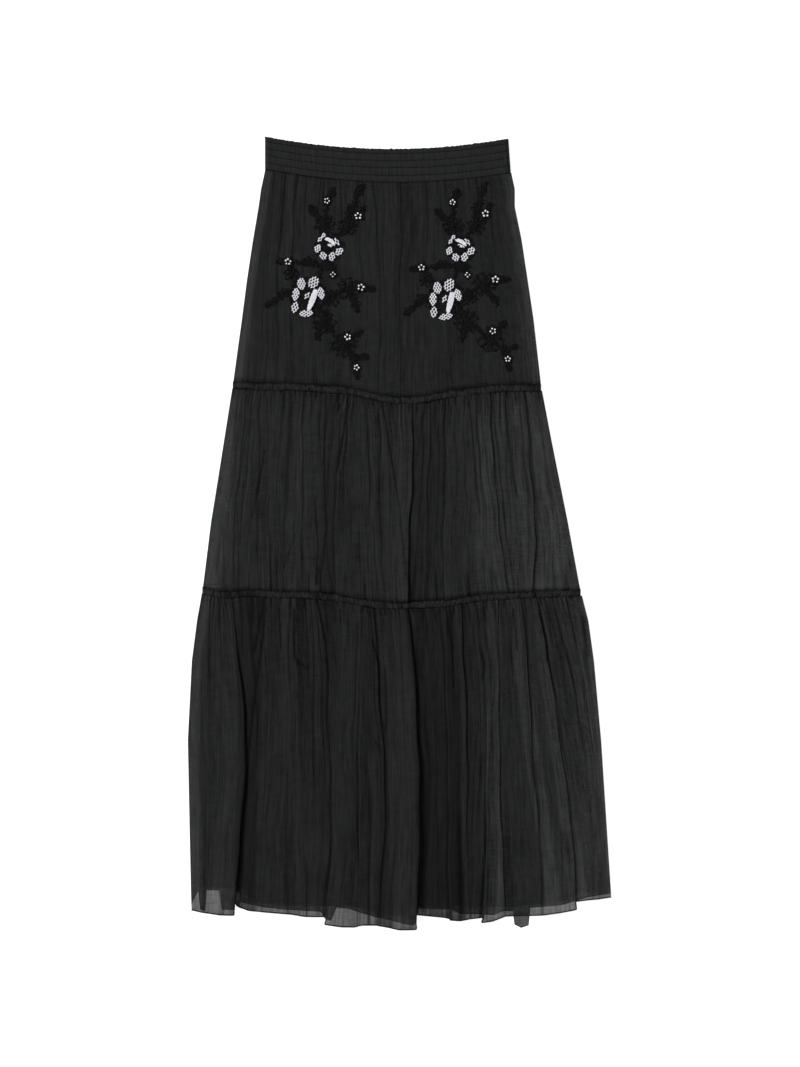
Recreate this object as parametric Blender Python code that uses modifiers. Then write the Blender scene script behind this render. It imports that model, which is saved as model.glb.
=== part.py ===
"""Tiered maxi skirt, laid flat on its back panels.

The skirt lies in the XY plane with its waist towards +Y, its hem towards -Y and its front up (+Z).
A maker would cut a shirred waistband, a yoke and two gathered tiers, each with a front and a back,
a corded band over each tier seam, a lining, and two lace sprays sewn on the yoke.

Sizes are in millimetres and turned into metres where points are made. A place on the skirt is given
by x, from the middle line to the right, and by its drop, measured down the skirt from the waist.
"""

import math
import random

import bmesh
import bpy

MM = 0.001
COLLECTION = "maxi_skirt"
CUTTERS = "lace_outlines"

LENGTH = 991.0
CLOTH = 1.0
FOLDED_CLOTH = 1.2
SEAM_GAP = 0.3

# Heights of the flattened layers above the surface that the skirt lies on.
LINING_BACK_Z = CLOTH + SEAM_GAP
LINING_FRONT_Z = LINING_BACK_Z + CLOTH + SEAM_GAP
FRONT_SIDE_Z = CLOTH + SEAM_GAP + FOLDED_CLOTH
FRONT_Z = LINING_FRONT_Z + CLOTH + 0.7 + FOLDED_CLOTH
SIDE_ROLL = 13.0
LINING_INSET = 18.0
HEM_ROLL_WIDTH = 2.5
HEM_ROLL_RISE = 0.6

WAISTBAND_DEPTH = 41.0
WAISTBAND_WALL = 2.2
CHANNEL_PUFF = 0.9
STITCH_ROWS = (6.0, 15.0, 23.5, 33.0)

# A seam band's height across its width, front and back: two cords side by side on the front.
BAND_HALF_WIDTH = 3.4
BAND_FRONT = ((-BAND_HALF_WIDTH, 0.3), (-1.7, 1.5), (0.0, 0.3), (1.7, 1.5), (BAND_HALF_WIDTH, 0.3))
BAND_BACK = ((-BAND_HALF_WIDTH, 0.0), (BAND_HALF_WIDTH, 0.0))

# Each tier's folds are given at its top, at its foot and at its knee, this share of the way down.
KNEE = 0.3
# A fold's sharp side comes down over this width.
STEEP = 3.0

# Small gathers under a seam: how far apart, how high and how long.
GATHER_SEED = 7
YOKE_GATHERS = {"spacing": 6.6, "rise": (0.3, 0.9), "length": (20.0, 70.0)}
MIDDLE_GATHERS = {"spacing": 5.6, "rise": (0.5, 1.2), "length": (30.0, 120.0)}
BOTTOM_GATHERS = {"spacing": 5.8, "rise": (0.5, 1.2), "length": (30.0, 120.0)}

# How far each side of the laid skirt lies from the middle line.
OUTLINE = [
    # drop, left, right
    (0.0, -168.0, 136.0),
    (42.0, -168.0, 139.0),
    (66.0, -173.0, 144.0),
    (88.0, -176.0, 144.0),
    (130.0, -183.0, 152.5),
    (180.0, -190.5, 160.0),
    (230.0, -197.0, 167.5),
    (312.0, -208.5, 177.0),
    (380.0, -219.5, 190.0),
    (480.0, -235.5, 210.0),
    (562.0, -245.5, 225.0),
    (605.0, -253.0, 236.0),
    (655.0, -259.5, 243.0),
    (755.0, -264.5, 252.0),
    (855.0, -262.5, 258.5),
    (949.0, -260.5, 264.5),
    (LENGTH, -259.0, 264.5),
]

# The lower and upper edge of the waistband hang in an arc between their ends.
WAIST_TOP = {"left": 0.0, "right": 2.5, "sag": 14.3}
WAIST_SEAM = {"left": 40.5, "right": 45.0, "sag": 14.2}

UPPER_SEAM = [
    # share of the width, drop
    (0.00, 311.0), (0.10, 312.5), (0.21, 314.0), (0.36, 317.5), (0.45, 325.0), (0.52, 329.0),
    (0.62, 329.0), (0.67, 325.0), (0.76, 319.0), (0.88, 315.5), (1.00, 314.0),
]
LOWER_SEAM = [
    # share of the width, drop
    (0.00, 567.0), (0.06, 573.0), (0.12, 571.0), (0.21, 572.5), (0.35, 576.0), (0.42, 582.5),
    (0.49, 586.0), (0.59, 585.0), (0.66, 582.0), (0.71, 578.0), (0.77, 575.0), (1.00, 570.0),
]
FRONT_HEM = [
    # x, drop: the hem steps where a fold overlaps its neighbour
    (-261.0, 967.0), (-244.0, 970.0), (-224.0, 972.5), (-206.2, 972.5), (-203.2, 953.0),
    (-199.0, 962.0), (-187.0, 967.5), (-137.0, 972.0), (-118.0, 975.0), (-96.1, 975.0),
    (-93.1, 984.5), (-74.0, 987.5), (-59.0, 988.0), (-47.0, 985.6), (-29.0, 985.6),
    (-14.0, 988.0), (1.0, LENGTH), (21.2, 990.0), (24.2, 972.5), (54.0, 976.0), (63.0, 979.0),
    (76.0, 980.0), (99.4, 976.0), (102.4, 982.0), (116.0, 980.6), (132.0, 974.4),
    (182.0, 973.0), (201.0, 970.0), (220.6, 966.0), (223.6, 956.0), (238.0, 954.0), (265.0, 951.0),
]
BACK_HEM = [
    # x, drop: a strip at the left side seam, and a narrow roll that hangs below the front hem
    (-261.0, 960.0), (-251.0, 942.0), (-249.0, 966.0), (-243.0, 968.0), (-241.5, 942.0),
    (-225.0, 942.0), (-222.0, 966.0), (-206.0, 967.0), (-205.0, 944.0), (-200.0, 944.0),
    (-198.5, 957.0), (-172.0, 963.0), (-146.0, 966.0), (-97.0, 969.0), (-93.0, 978.0),
    (-86.0, 980.0), (-79.0, 963.5), (-64.0, 965.0), (-49.5, 970.0), (-30.6, 975.6), (-12.0, 979.5),
    (9.0, 985.0), (18.0, 986.0), (24.0, 965.0), (63.0, 966.0), (78.0, 972.0), (99.0, 972.0),
    (118.0, 973.0), (130.0, 968.0), (142.0, 968.0), (144.0, 985.0), (152.0, 989.0), (161.0, 986.0),
    (163.0, 964.0), (201.0, 961.0), (238.0, 950.0), (265.0, 946.0),
]
LINING_HEM = [
    # x, drop: just above the shorter of the two hems
    (-250.0, 938.0), (-225.0, 938.0), (-198.0, 940.0), (-180.0, 957.0), (-146.0, 961.0),
    (-97.0, 962.0), (-64.0, 961.0), (-44.0, 966.0), (-24.0, 971.0), (2.0, 975.0), (18.0, 962.0),
    (63.0, 961.0), (142.0, 963.0), (163.0, 960.0), (201.0, 957.0), (224.0, 948.0), (252.0, 942.0),
]

# Large folds. An edge is the fold's sharp side, given at the tier's top, knee and foot. It faces
# right (+1) or left (-1), and the cloth climbs to it over the run, by the rise at those three places.
YOKE_FOLDS = [
    # edge top, knee, foot, facing, run, rise top, knee, foot
    (-143.0, -149.0, -154.0, 1, 10.0, 1.0, 0.7, 0.0),
    (-129.0, -133.0, -137.0, 1, 10.0, 1.0, 0.8, 0.2),
    (-33.0, -28.0, -27.0, 1, 16.0, 0.9, 1.0, 0.4),
    (0.6, 0.6, 0.6, 1, 12.0, 0.9, 1.0, 0.6),
    (38.0, 39.0, 41.0, -1, 14.0, 0.8, 0.5, 0.0),
]
MIDDLE_FOLDS = [
    # edge top, knee, foot, facing, run, rise top, knee, foot
    (-190.0, -199.0, -207.0, 1, 12.0, 0.5, 1.2, 1.4),
    (-163.7, -163.7, -163.7, -1, 22.0, 1.0, 2.2, 2.4),
    (-142.0, -147.0, -150.5, -1, 12.0, 1.5, 1.0, 0.2),
    (-120.6, -120.6, -123.0, 1, 12.0, 1.0, 0.9, 0.2),
    (-65.6, -75.6, -78.7, -1, 34.0, 1.5, 3.2, 3.8),
    (-37.0, -34.4, -24.4, -1, 14.0, 1.0, 1.7, 0.6),
    (-13.0, -9.4, 7.5, 1, 30.0, 1.5, 3.2, 4.4),
    (37.0, 34.4, 30.6, -1, 12.0, 1.5, 1.8, 0.4),
    (59.4, 57.5, 57.0, -1, 26.0, 1.5, 2.6, 2.8),
    (113.0, 117.0, 135.6, 1, 20.0, 1.0, 1.6, 0.6),
    (154.4, 163.0, 166.2, 1, 26.0, 1.0, 2.6, 3.6),
]
BOTTOM_FOLDS = [
    # edge top, knee, foot, facing, run, rise top, knee, foot
    (-210.6, -197.0, -206.2, 1, 34.0, 0.8, 4.0, 6.0),
    (-165.6, -164.4, -172.0, -1, 20.0, 1.5, 1.8, 0.6),
    (-130.0, -129.4, -124.4, -1, 14.0, 2.0, 1.6, 0.3),
    (-97.0, -87.0, -93.1, -1, 42.0, 1.5, 4.5, 6.5),
    (-44.4, -48.0, -52.0, -1, 18.0, 1.0, 1.7, 0.8),
    (-33.0, -23.0, -27.0, 1, 16.0, 1.0, 2.1, 0.7),
    (10.6, 20.6, 21.2, 1, 46.0, 2.5, 6.0, 8.0),
    (57.0, 58.8, 63.0, -1, 24.0, 1.5, 3.0, 3.2),
    (77.0, 82.0, 85.6, 1, 10.0, 1.5, 2.0, 0.4),
    (97.0, 107.0, 102.4, -1, 16.0, 2.0, 4.0, 5.0),
    (123.0, 124.0, 132.0, 1, 14.0, 1.0, 2.4, 3.2),
    (152.0, 162.0, 177.0, 1, 16.0, 1.5, 1.7, 0.8),
    (170.6, 192.0, 220.6, 1, 36.0, 2.0, 5.0, 6.4),
    (207.0, 230.0, 249.0, 1, 12.0, 1.5, 1.2, 0.4),
]

# Rows of each tier, as shares of its depth, closer together under the seam where the gathers are.
YOKE_ROWS = (0.0, 0.06, 0.16, 0.32, 0.55, 0.78, 1.0)
MIDDLE_ROWS = (0.0, 0.05, 0.13, 0.25, 0.42, 0.62, 0.82, 1.0)
BOTTOM_ROWS = (0.0, 0.04, 0.1, 0.2, 0.34, 0.52, 0.74, 1.0)
BACK_ROWS = (0.0, 0.35, 0.7, 1.0)
BACK_COLUMNS = 44
LINING_ROWS = tuple(row / 7 for row in range(8))
LINING_COLUMNS = 24
WAISTBAND_COLUMNS = 18
BAND_COLUMNS = 44
# The bottom tier's back has further columns that reach its hem at these x, where the hem steps.
BACK_HEM_STEPS = (-251.0, -249.0, -243.0, -241.5, -225.0, -222.0, -206.0, -205.0, -200.0, -198.5,
                  -93.0, -79.0, 18.0, 142.0, 144.0, 152.0, 161.0, 163.0)

# The lace spray, placed from the middle of its large flower. The upper motifs lean together by one
# turn and the lower ones by another, so that the two sprays of the pair differ as cut lace does.
LARGE_FLOWERS = [
    # group, x, y, radius, petals, turn
    ("upper", 0.0, 0.0, 24.0, 7, 10.0),
    ("upper", 27.0, 61.0, 17.5, 7, 30.0),
]
ROSETTES = [
    # group, x, y, radius, petals, turn
    ("upper", 20.5, 90.0, 12.5, 6, 0.0),
    ("upper", 50.0, 87.0, 11.5, 5, 20.0),
    ("upper", -20.5, 28.0, 9.0, 5, 0.0),
    ("lower", 31.0, -2.0, 10.0, 5, 12.0),
    ("lower", 51.0, 9.0, 14.0, 6, 40.0),
    ("lower", 20.0, -32.0, 14.5, 7, 0.0),
    ("lower", 45.0, -61.0, 15.5, 7, 25.0),
]
SMALL_FLOWERS = [
    # group, x, y, radius, petals, turn
    ("upper", 24.0, 119.0, 5.0, 5, 0.0),
    ("upper", 63.0, 100.0, 6.0, 5, 20.0),
    ("upper", -24.5, 43.0, 5.5, 5, 10.0),
    ("upper", 31.5, 27.0, 4.5, 4, 0.0),
    ("lower", 66.5, 11.0, 6.0, 5, 0.0),
    ("lower", 50.0, -51.0, 5.5, 5, 30.0),
    ("lower", 61.0, -89.0, 5.0, 5, 0.0),
]
LEAVES = [
    # group, x, y, length, width, turn
    ("upper", 7.0, 106.0, 22.0, 9.0, 125.0),
    ("upper", 30.0, 129.0, 16.0, 8.0, 65.0),
    ("upper", 53.0, 108.0, 26.0, 11.0, 62.0),
    ("upper", 64.0, 131.0, 24.0, 9.0, 55.0),
    ("upper", 68.0, 107.5, 15.0, 7.0, 60.0),
    ("upper", 0.0, 43.0, 26.0, 9.0, 4.0),
    ("upper", 24.0, 38.0, 26.0, 9.0, -8.0),
    ("upper", -34.0, 43.0, 14.0, 8.0, 176.0),
    ("upper", -30.0, 4.0, 20.0, 9.0, 205.0),
    ("upper", -46.0, -8.0, 22.0, 8.0, 215.0),
    ("lower", 77.0, 9.0, 16.0, 8.0, -8.0),
    ("lower", 60.0, -12.0, 20.0, 9.0, -70.0),
    ("lower", 12.0, -49.0, 14.0, 8.0, -115.0),
    ("lower", 63.0, -46.0, 14.0, 8.0, 22.0),
    ("lower", 59.0, -77.0, 16.0, 8.0, -70.0),
    ("lower", 70.0, -76.0, 16.0, 8.0, 12.0),
    ("lower", 61.0, -98.0, 15.0, 8.0, -92.0),
]
STEMS = [
    # group, x and y of the stem's start, middle and end
    ("upper", (64.0, 134.0), (56.0, 104.0), (46.0, 84.0)),
    ("upper", (30.0, 132.0), (23.0, 112.0), (19.0, 88.0)),
    ("upper", (8.0, 106.0), (12.0, 98.0), (20.0, 90.0)),
    ("upper", (50.0, 87.0), (38.0, 80.0), (28.0, 64.0)),
    ("upper", (20.0, 90.0), (22.0, 76.0), (27.0, 62.0)),
    ("upper", (64.0, 101.0), (59.0, 94.0), (50.0, 87.0)),
    ("upper", (27.0, 61.0), (24.0, 44.0), (8.0, 12.0)),
    ("upper", (-36.0, 43.0), (0.0, 44.0), (34.0, 36.0)),
    ("upper", (32.0, 27.0), (28.0, 34.0), (22.0, 38.0)),
    ("upper", (-22.0, 38.0), (-16.0, 26.0), (-4.0, 8.0)),
    ("upper", (-50.0, -11.0), (-32.0, 2.0), (-10.0, 6.0)),
    ("lower", (12.0, 4.0), (28.0, 0.0), (50.0, 8.0)),
    ("lower", (50.0, 9.0), (64.0, 12.0), (80.0, 9.0)),
    ("lower", (52.0, 4.0), (58.0, -6.0), (61.0, -16.0)),
    ("lower", (12.0, -8.0), (20.0, -20.0), (22.0, -34.0)),
    ("lower", (20.0, -30.0), (30.0, -46.0), (44.0, -60.0)),
    ("lower", (18.0, -36.0), (14.0, -44.0), (11.0, -52.0)),
    ("lower", (46.0, -58.0), (56.0, -50.0), (66.0, -45.0)),
    ("lower", (46.0, -60.0), (56.0, -72.0), (61.0, -100.0)),
    ("lower", (57.0, -76.0), (64.0, -78.0), (74.0, -76.0)),
]
STEM_WIDTH = 3.2
LACE_WALL = 1.0
# The upright prisms that cut a spray out: each is a little taller than the one before.
PRISM_REACH = 40.0
PRISM_STEP = 0.2
CORNERS_PER_PETAL = 3
LEAF_CORNERS = 8
STEM_POINTS = 4
SPRAYS = [
    # name, x and drop of the large flower, turn of the upper and of the lower motifs
    ("lace_spray_left", -114.5, 200.0, 0.0, 0.0),
    ("lace_spray_right", 57.0, 204.0, 7.0, 12.0),
]

COLOURS = {
    "cloth": ((0.020, 0.020, 0.021, 1.0), 0.75),
    "lining": ((0.010, 0.010, 0.011, 1.0), 0.6),
    "trim": ((0.012, 0.012, 0.013, 1.0), 0.7),
    "lace": ((0.006, 0.006, 0.007, 1.0), 0.85),
}


def clear_scene():
    """Remove whatever the scene starts with."""
    for old in list(bpy.data.objects):
        bpy.data.objects.remove(old)


def material_of(name):
    """The plain material of one kind of cloth."""
    made = bpy.data.materials.get(name)
    if made is None:
        colour, roughness = COLOURS[name]
        made = bpy.data.materials.new(name)
        made.use_nodes = True
        shader = made.node_tree.nodes["Principled BSDF"]
        shader.inputs["Base Color"].default_value = colour
        shader.inputs["Roughness"].default_value = roughness
        shader.inputs["Metallic"].default_value = 0.0
    return made


def smooth(share):
    """Ease from 0 to 1 as the share goes from 0 to 1."""
    share = min(1.0, max(0.0, share))
    return share * share * (3.0 - 2.0 * share)


def look_up(rows, at, column=1):
    """Read a table of rows, sorted by their first value, straight between the rows."""
    if at <= rows[0][0]:
        return rows[0][column]
    for low, high in zip(rows, rows[1:]):
        if at <= high[0]:
            share = (at - low[0]) / (high[0] - low[0])
            return low[column] + share * (high[column] - low[column])
    return rows[-1][column]


def curve_through(rows, at):
    """Read a table of two columns as a smooth curve through its rows."""
    at = min(rows[-1][0], max(rows[0][0], at))
    index = 0
    while at > rows[index + 1][0]:
        index += 1
    slopes = []
    for here in (index, index + 1):
        before, after = rows[max(0, here - 1)], rows[min(len(rows) - 1, here + 1)]
        slopes.append((after[1] - before[1]) / (after[0] - before[0]))
    (x0, y0), (x1, y1) = rows[index], rows[index + 1]
    reach = x1 - x0
    share = (at - x0) / reach
    bend0 = share * (1.0 - share) ** 2 * reach * slopes[0]
    bend1 = share * share * (share - 1.0) * reach * slopes[1]
    return y0 + (y1 - y0) * smooth(share) + bend0 + bend1


def through(share, top, knee, foot):
    """The parabola with these values at a tier's top, knee and foot."""
    top_part = (share - KNEE) * (share - 1.0) / KNEE
    knee_part = share * (share - 1.0) / (KNEE * (KNEE - 1.0))
    foot_part = share * (share - KNEE) / (1.0 - KNEE)
    return top * top_part + knee * knee_part + foot * foot_part


def between(share, top, knee, foot):
    """The same three values, joined by straight stretches."""
    return look_up([(0.0, top), (KNEE, knee), (1.0, foot)], share)


def side_edges(drop):
    """Where the left and right side lie at this drop."""
    return look_up(OUTLINE, drop, 1), look_up(OUTLINE, drop, 2)


def arc_drop(arc, x):
    """The drop of a waistband edge at x."""
    left, right = side_edges(arc["left"])
    share = (x - left) / (right - left)
    return arc["left"] + (arc["right"] - arc["left"]) * share + arc["sag"] * 4.0 * share * (1.0 - share)


def seam_drop(seam, x):
    """The drop of a tier seam at x."""
    left, right = side_edges(seam[0][1])
    return curve_through(seam, (x - left) / (right - left))


def waist_seam_below(x):
    return arc_drop(WAIST_SEAM, x) + SEAM_GAP


def upper_seam_above(x):
    return seam_drop(UPPER_SEAM, x) - BAND_HALF_WIDTH - SEAM_GAP


def upper_seam_below(x):
    return seam_drop(UPPER_SEAM, x) + BAND_HALF_WIDTH + SEAM_GAP


def lower_seam_above(x):
    return seam_drop(LOWER_SEAM, x) - BAND_HALF_WIDTH - SEAM_GAP


def lower_seam_below(x):
    return seam_drop(LOWER_SEAM, x) + BAND_HALF_WIDTH + SEAM_GAP


def front_hem(x):
    return look_up(FRONT_HEM, x)


def back_hem(x):
    return look_up(BACK_HEM, x)


def lining_hem(x):
    return look_up(LINING_HEM, x)


def front_level(x, drop):
    """The outer height of the flat front: it rolls down to the side seams."""
    left, right = side_edges(drop)
    inset = max(0.0, min(x - left, right - x))
    return FRONT_SIDE_Z + (FRONT_Z - FRONT_SIDE_Z) * smooth(inset / SIDE_ROLL)


def fold_height(folds, share, x):
    """How far the large folds lift the cloth at x."""
    height = 0.0
    for top, knee, foot, facing, run, *rises in folds:
        beyond = (x - through(share, top, knee, foot)) * facing
        if -run < beyond <= 0.0:
            height += between(share, *rises) * smooth(1.0 + beyond / run)
        elif 0.0 < beyond < STEEP:
            height += between(share, *rises) * (1.0 - beyond / STEEP)
    return height


def tier_sides(share, top_drop, foot_drop):
    """The x of a tier's two side seams at one row."""
    sides = []
    for side in (0, 1):
        top = top_drop(side_edges(top_drop(0.0))[side])
        foot = foot_drop(side_edges(foot_drop(0.0))[side])
        sides.append(side_edges(top + share * (foot - top))[side])
    return sides


def tier_guides(folds, share, top_drop, foot_drop):
    """From left to right at one row of a tier: the side seams, and each fold's edge and foot."""
    guides = tier_sides(share, top_drop, foot_drop)
    for top, knee, foot, facing, *_ in folds:
        edge = through(share, top, knee, foot)
        guides += [edge, edge + facing * STEEP]
    return sorted(guides)


def tier_grid(folds, rows, gathers, top_drop, foot_drop):
    """The points of a tier's outer surface, as rows from its top to its foot.

    A column runs along each fold's edge and each fold's foot. The columns between them take turns as
    the crest and the dip of a gather, which fades out down the tier within its own length.
    """
    choice = random.Random(GATHER_SEED)
    knee_guides = tier_guides(folds, KNEE, top_drop, foot_drop)
    steps = []
    for low, high in zip(knee_guides, knee_guides[1:]):
        wide = high - low > STEEP + 0.01
        steps.append(max(1, round((high - low) / gathers["spacing"])) if wide else 1)
    rises = [choice.uniform(*gathers["rise"]) for _ in range(sum(steps))]
    lengths = [choice.uniform(*gathers["length"]) for _ in range(sum(steps))]
    grid = []
    for share in rows:
        guides = tier_guides(folds, share, top_drop, foot_drop)
        row = []
        for low, high, count in zip(guides, guides[1:], steps):
            for step in range(count):
                x = low + (high - low) * step / count
                row.append((x, step % 2))
        row.append((guides[-1], 0))
        points = []
        for column, (x, crest) in enumerate(row):
            top, foot = top_drop(x), foot_drop(x)
            drop = top + share * (foot - top)
            height = front_level(x, drop) + fold_height(folds, share, x)
            if crest:
                height += rises[column] * max(0.0, 1.0 - (drop - top) / lengths[column])
            points.append((x, drop, height))
        grid.append(points)
    return grid


def with_hem_roll(grid):
    """The grid with a raised roll along its foot."""
    roll = []
    for back, lift in ((HEM_ROLL_WIDTH + 1.0, 0.0), (HEM_ROLL_WIDTH, HEM_ROLL_RISE), (0.0, HEM_ROLL_RISE)):
        row = []
        for (x0, drop0, z0), (x1, drop1, z1) in zip(grid[-2], grid[-1]):
            share = 1.0 - back / (drop1 - drop0)
            drop = drop0 + share * (drop1 - drop0)
            row.append((x0 + share * (x1 - x0), drop, z0 + share * (z1 - z0) + lift))
        roll.append(row)
    return [*grid[:-1], *roll]


def flat_grid(rows, columns, top_drop, foot_drop, level, inset=0.0, extra=()):
    """The points of a flat panel between the side seams, or inset from them, with extra columns."""
    shares = sorted([column / columns for column in range(columns + 1)] + list(extra))
    grid = []
    for share in rows:
        left, right = tier_sides(share, top_drop, foot_drop)
        points = []
        for place in shares:
            x = left + inset + (right - left - 2.0 * inset) * place
            top, foot = top_drop(x), foot_drop(x)
            points.append((x, top + share * (foot - top), level))
        grid.append(points)
    return grid


def back_step_shares():
    """Where the steps in the back's hem lie, as shares of its width."""
    left, right = tier_sides(1.0, lower_seam_below, back_hem)
    return [(x - left) / (right - left) for x in BACK_HEM_STEPS]


def band_grid(seam, columns, profile, level_at):
    """The points of a band along a tier seam: the profile gives its height from edge to edge."""
    left, right = side_edges(seam[0][1])
    grid = []
    for offset, rise in profile:
        points = []
        for column in range(columns + 1):
            x = left + (right - left) * column / columns
            drop = seam_drop(seam, x) + offset
            points.append((x, drop, level_at(x, drop) + rise))
        grid.append(points)
    return grid


def channel_profile():
    """Down the waistband's front: a channel puffs up between each two rows of stitching."""
    lines = [0.0, *STITCH_ROWS, WAISTBAND_DEPTH]
    profile = [(0.0, 0.0)]
    for low, high in zip(lines, lines[1:]):
        reach = high - low
        profile += [(low + 0.25 * reach, 0.8 * CHANNEL_PUFF), (low + 0.7 * reach, CHANNEL_PUFF), (high, 0.0)]
    return profile


def waistband_grid(columns, profile):
    """The points of the waistband: the profile gives its height from the top edge to the seam."""
    grid = []
    for offset, rise in profile:
        share = offset / WAISTBAND_DEPTH
        left, right = side_edges(offset)
        points = []
        for column in range(columns + 1):
            x = left + (right - left) * column / columns
            top, foot = arc_drop(WAIST_TOP, x), arc_drop(WAIST_SEAM, x)
            points.append((x, top + share * (foot - top), rise))
        grid.append(points)
    return grid


def raised(grid, lift):
    """The grid moved up."""
    return [[(x, drop, z + lift) for x, drop, z in points] for points in grid]


def sheet(name, kind, grid, wall, outward=False):
    """Make an open surface from a grid and give it a wall, inwards unless it is asked for outwards."""
    surface = bmesh.new()
    bmesh.ops.create_grid(surface, x_segments=len(grid[0]) - 1, y_segments=len(grid) - 1, size=0.5)
    down_the_rows = sorted(surface.verts, key=lambda vert: (-round(vert.co.y, 5), vert.co.x))
    for vert, (x, drop, z) in zip(down_the_rows, [point for row in grid for point in row]):
        vert.co = (x * MM, (LENGTH / 2 - drop) * MM, z * MM)
    mesh = bpy.data.meshes.new(name)
    surface.to_mesh(mesh)
    surface.free()
    mesh.shade_smooth()
    mesh.materials.append(material_of(kind))
    made = bpy.data.objects.new(name, mesh)
    bpy.data.collections[COLLECTION].objects.link(made)
    thicken = made.modifiers.new("wall", "SOLIDIFY")
    thicken.thickness = wall * MM
    thicken.offset = 1.0 if outward else -1.0
    return made


def flower_outline(x, y, radius, petals, turn):
    """A flower's outline: round petals with a notch between each two."""
    outline = []
    for corner in range(petals * CORNERS_PER_PETAL):
        angle = 2.0 * math.pi * corner / (petals * CORNERS_PER_PETAL)
        bulge = abs(math.sin(petals * angle / 2.0))
        reach = radius * (0.7 + 0.3 * bulge)
        outline.append((x + reach * math.cos(angle + math.radians(turn)),
                        y + reach * math.sin(angle + math.radians(turn))))
    return outline


def leaf_outline(x, y, length, width, turn):
    """A leaf's outline: pointed at both ends, widest before its middle."""
    outline = []
    for corner in range(LEAF_CORNERS):
        angle = 2.0 * math.pi * corner / LEAF_CORNERS
        along = 0.5 * length * math.cos(angle)
        across = 0.5 * width * math.sin(angle) * (0.75 + 0.25 * math.cos(angle))
        lean = math.radians(turn)
        outline.append((x + along * math.cos(lean) - across * math.sin(lean),
                        y + along * math.sin(lean) + across * math.cos(lean)))
    return outline


def stem_outline(start, middle, end, width):
    """A stem's outline: a ribbon along the curve that bends towards its middle point."""
    sides = ([], [])
    for step in range(STEM_POINTS):
        share = step / (STEM_POINTS - 1)
        weights = ((1.0 - share) ** 2, 2.0 * share * (1.0 - share), share * share)
        x, y = (sum(w * p[axis] for w, p in zip(weights, (start, middle, end))) for axis in (0, 1))
        slope = [(1.0 - share) * (middle[axis] - start[axis]) + share * (end[axis] - middle[axis])
                 for axis in (0, 1)]
        length = math.hypot(*slope)
        aside = (-slope[1] / length * width / 2.0, slope[0] / length * width / 2.0)
        sides[0].append((x + aside[0], y + aside[1]))
        sides[1].append((x - aside[0], y - aside[1]))
    return sides[1] + sides[0][::-1]


def spray_outlines():
    """Each motif of a lace spray: its group and its outline around the large flower's middle."""
    motifs = []
    for group, *size in LARGE_FLOWERS + ROSETTES + SMALL_FLOWERS:
        motifs.append((group, flower_outline(*size)))
    for group, *size in LEAVES:
        motifs.append((group, leaf_outline(*size)))
    for group, start, middle, end in STEMS:
        motifs.append((group, stem_outline(start, middle, end, STEM_WIDTH)))
    return motifs


def motif_prism(name, outline, turn, x, drop, reach):
    """A hidden upright prism with a motif's outline."""
    prism = bmesh.new()
    face = prism.faces.new([prism.verts.new((along * MM, up * MM, -reach * MM)) for along, up in outline])
    pulled = bmesh.ops.extrude_face_region(prism, geom=[face])["geom"]
    top = [item for item in pulled if isinstance(item, bmesh.types.BMVert)]
    bmesh.ops.translate(prism, vec=(0.0, 0.0, 2.0 * reach * MM), verts=top)
    bmesh.ops.recalc_face_normals(prism, faces=prism.faces)
    mesh = bpy.data.meshes.new(name)
    prism.to_mesh(mesh)
    prism.free()
    made = bpy.data.objects.new(name, mesh)
    made.location = (x * MM, (LENGTH / 2 - drop) * MM, 0.0)
    made.rotation_euler = (0.0, 0.0, math.radians(turn))
    made.display_type = "WIRE"
    made.hide_render = True
    bpy.data.collections[CUTTERS].objects.link(made)
    return made


def lace_spray(name, x, drop, upper_turn, lower_turn, yoke):
    """A spray of lace: the yoke's own surface, moved out, kept only inside the motifs' outlines."""
    motifs = bpy.data.collections.new(name + "_motifs")
    bpy.data.collections[CUTTERS].children.link(motifs)
    prisms = []
    for number, (group, outline) in enumerate(spray_outlines()):
        turn = upper_turn if group == "upper" else lower_turn
        reach = PRISM_REACH + PRISM_STEP * number
        prisms.append(motif_prism(f"{name}_motif_{number}", outline, turn, x, drop, reach))
    for prism in prisms[1:]:
        motifs.objects.link(prism)
    joined = prisms[0].modifiers.new("motifs", "BOOLEAN")
    joined.operation = "UNION"
    joined.operand_type = "COLLECTION"
    joined.collection = motifs
    spray = sheet(name, "lace", raised(yoke, SEAM_GAP), LACE_WALL, outward=True)
    cut = spray.modifiers.new("outline", "BOOLEAN")
    cut.operation = "INTERSECT"
    cut.object = prisms[0]


def add_waistband():
    """The shirred waistband: its front has puffed channels, and its back lies flat."""
    front = waistband_grid(WAISTBAND_COLUMNS, channel_profile())
    back = waistband_grid(WAISTBAND_COLUMNS, ((0.0, 0.0), (WAISTBAND_DEPTH, 0.0)))
    sheet("waistband_front", "trim", raised(front, 2 * WAISTBAND_WALL + SEAM_GAP), WAISTBAND_WALL)
    sheet("waistband_back", "trim", raised(back, WAISTBAND_WALL), WAISTBAND_WALL)


def add_back_panels():
    """The back of the yoke and of each tier, flat on the surface."""
    for name, top, foot, extra in (
        ("yoke_back", waist_seam_below, upper_seam_above, ()),
        ("middle_tier_back", upper_seam_below, lower_seam_above, ()),
        ("bottom_tier_back", lower_seam_below, back_hem, back_step_shares()),
    ):
        sheet(name, "cloth", flat_grid(BACK_ROWS, BACK_COLUMNS, top, foot, CLOTH, extra=extra), CLOTH)


def add_lining():
    """The lining's back and front, flat between the outer panels."""
    for name, underside in (("lining_back", LINING_BACK_Z), ("lining_front", LINING_FRONT_Z)):
        lining = flat_grid(LINING_ROWS, LINING_COLUMNS, waist_seam_below, lining_hem,
                           underside + CLOTH, LINING_INSET)
        sheet(name, "lining", lining, CLOTH)


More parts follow.
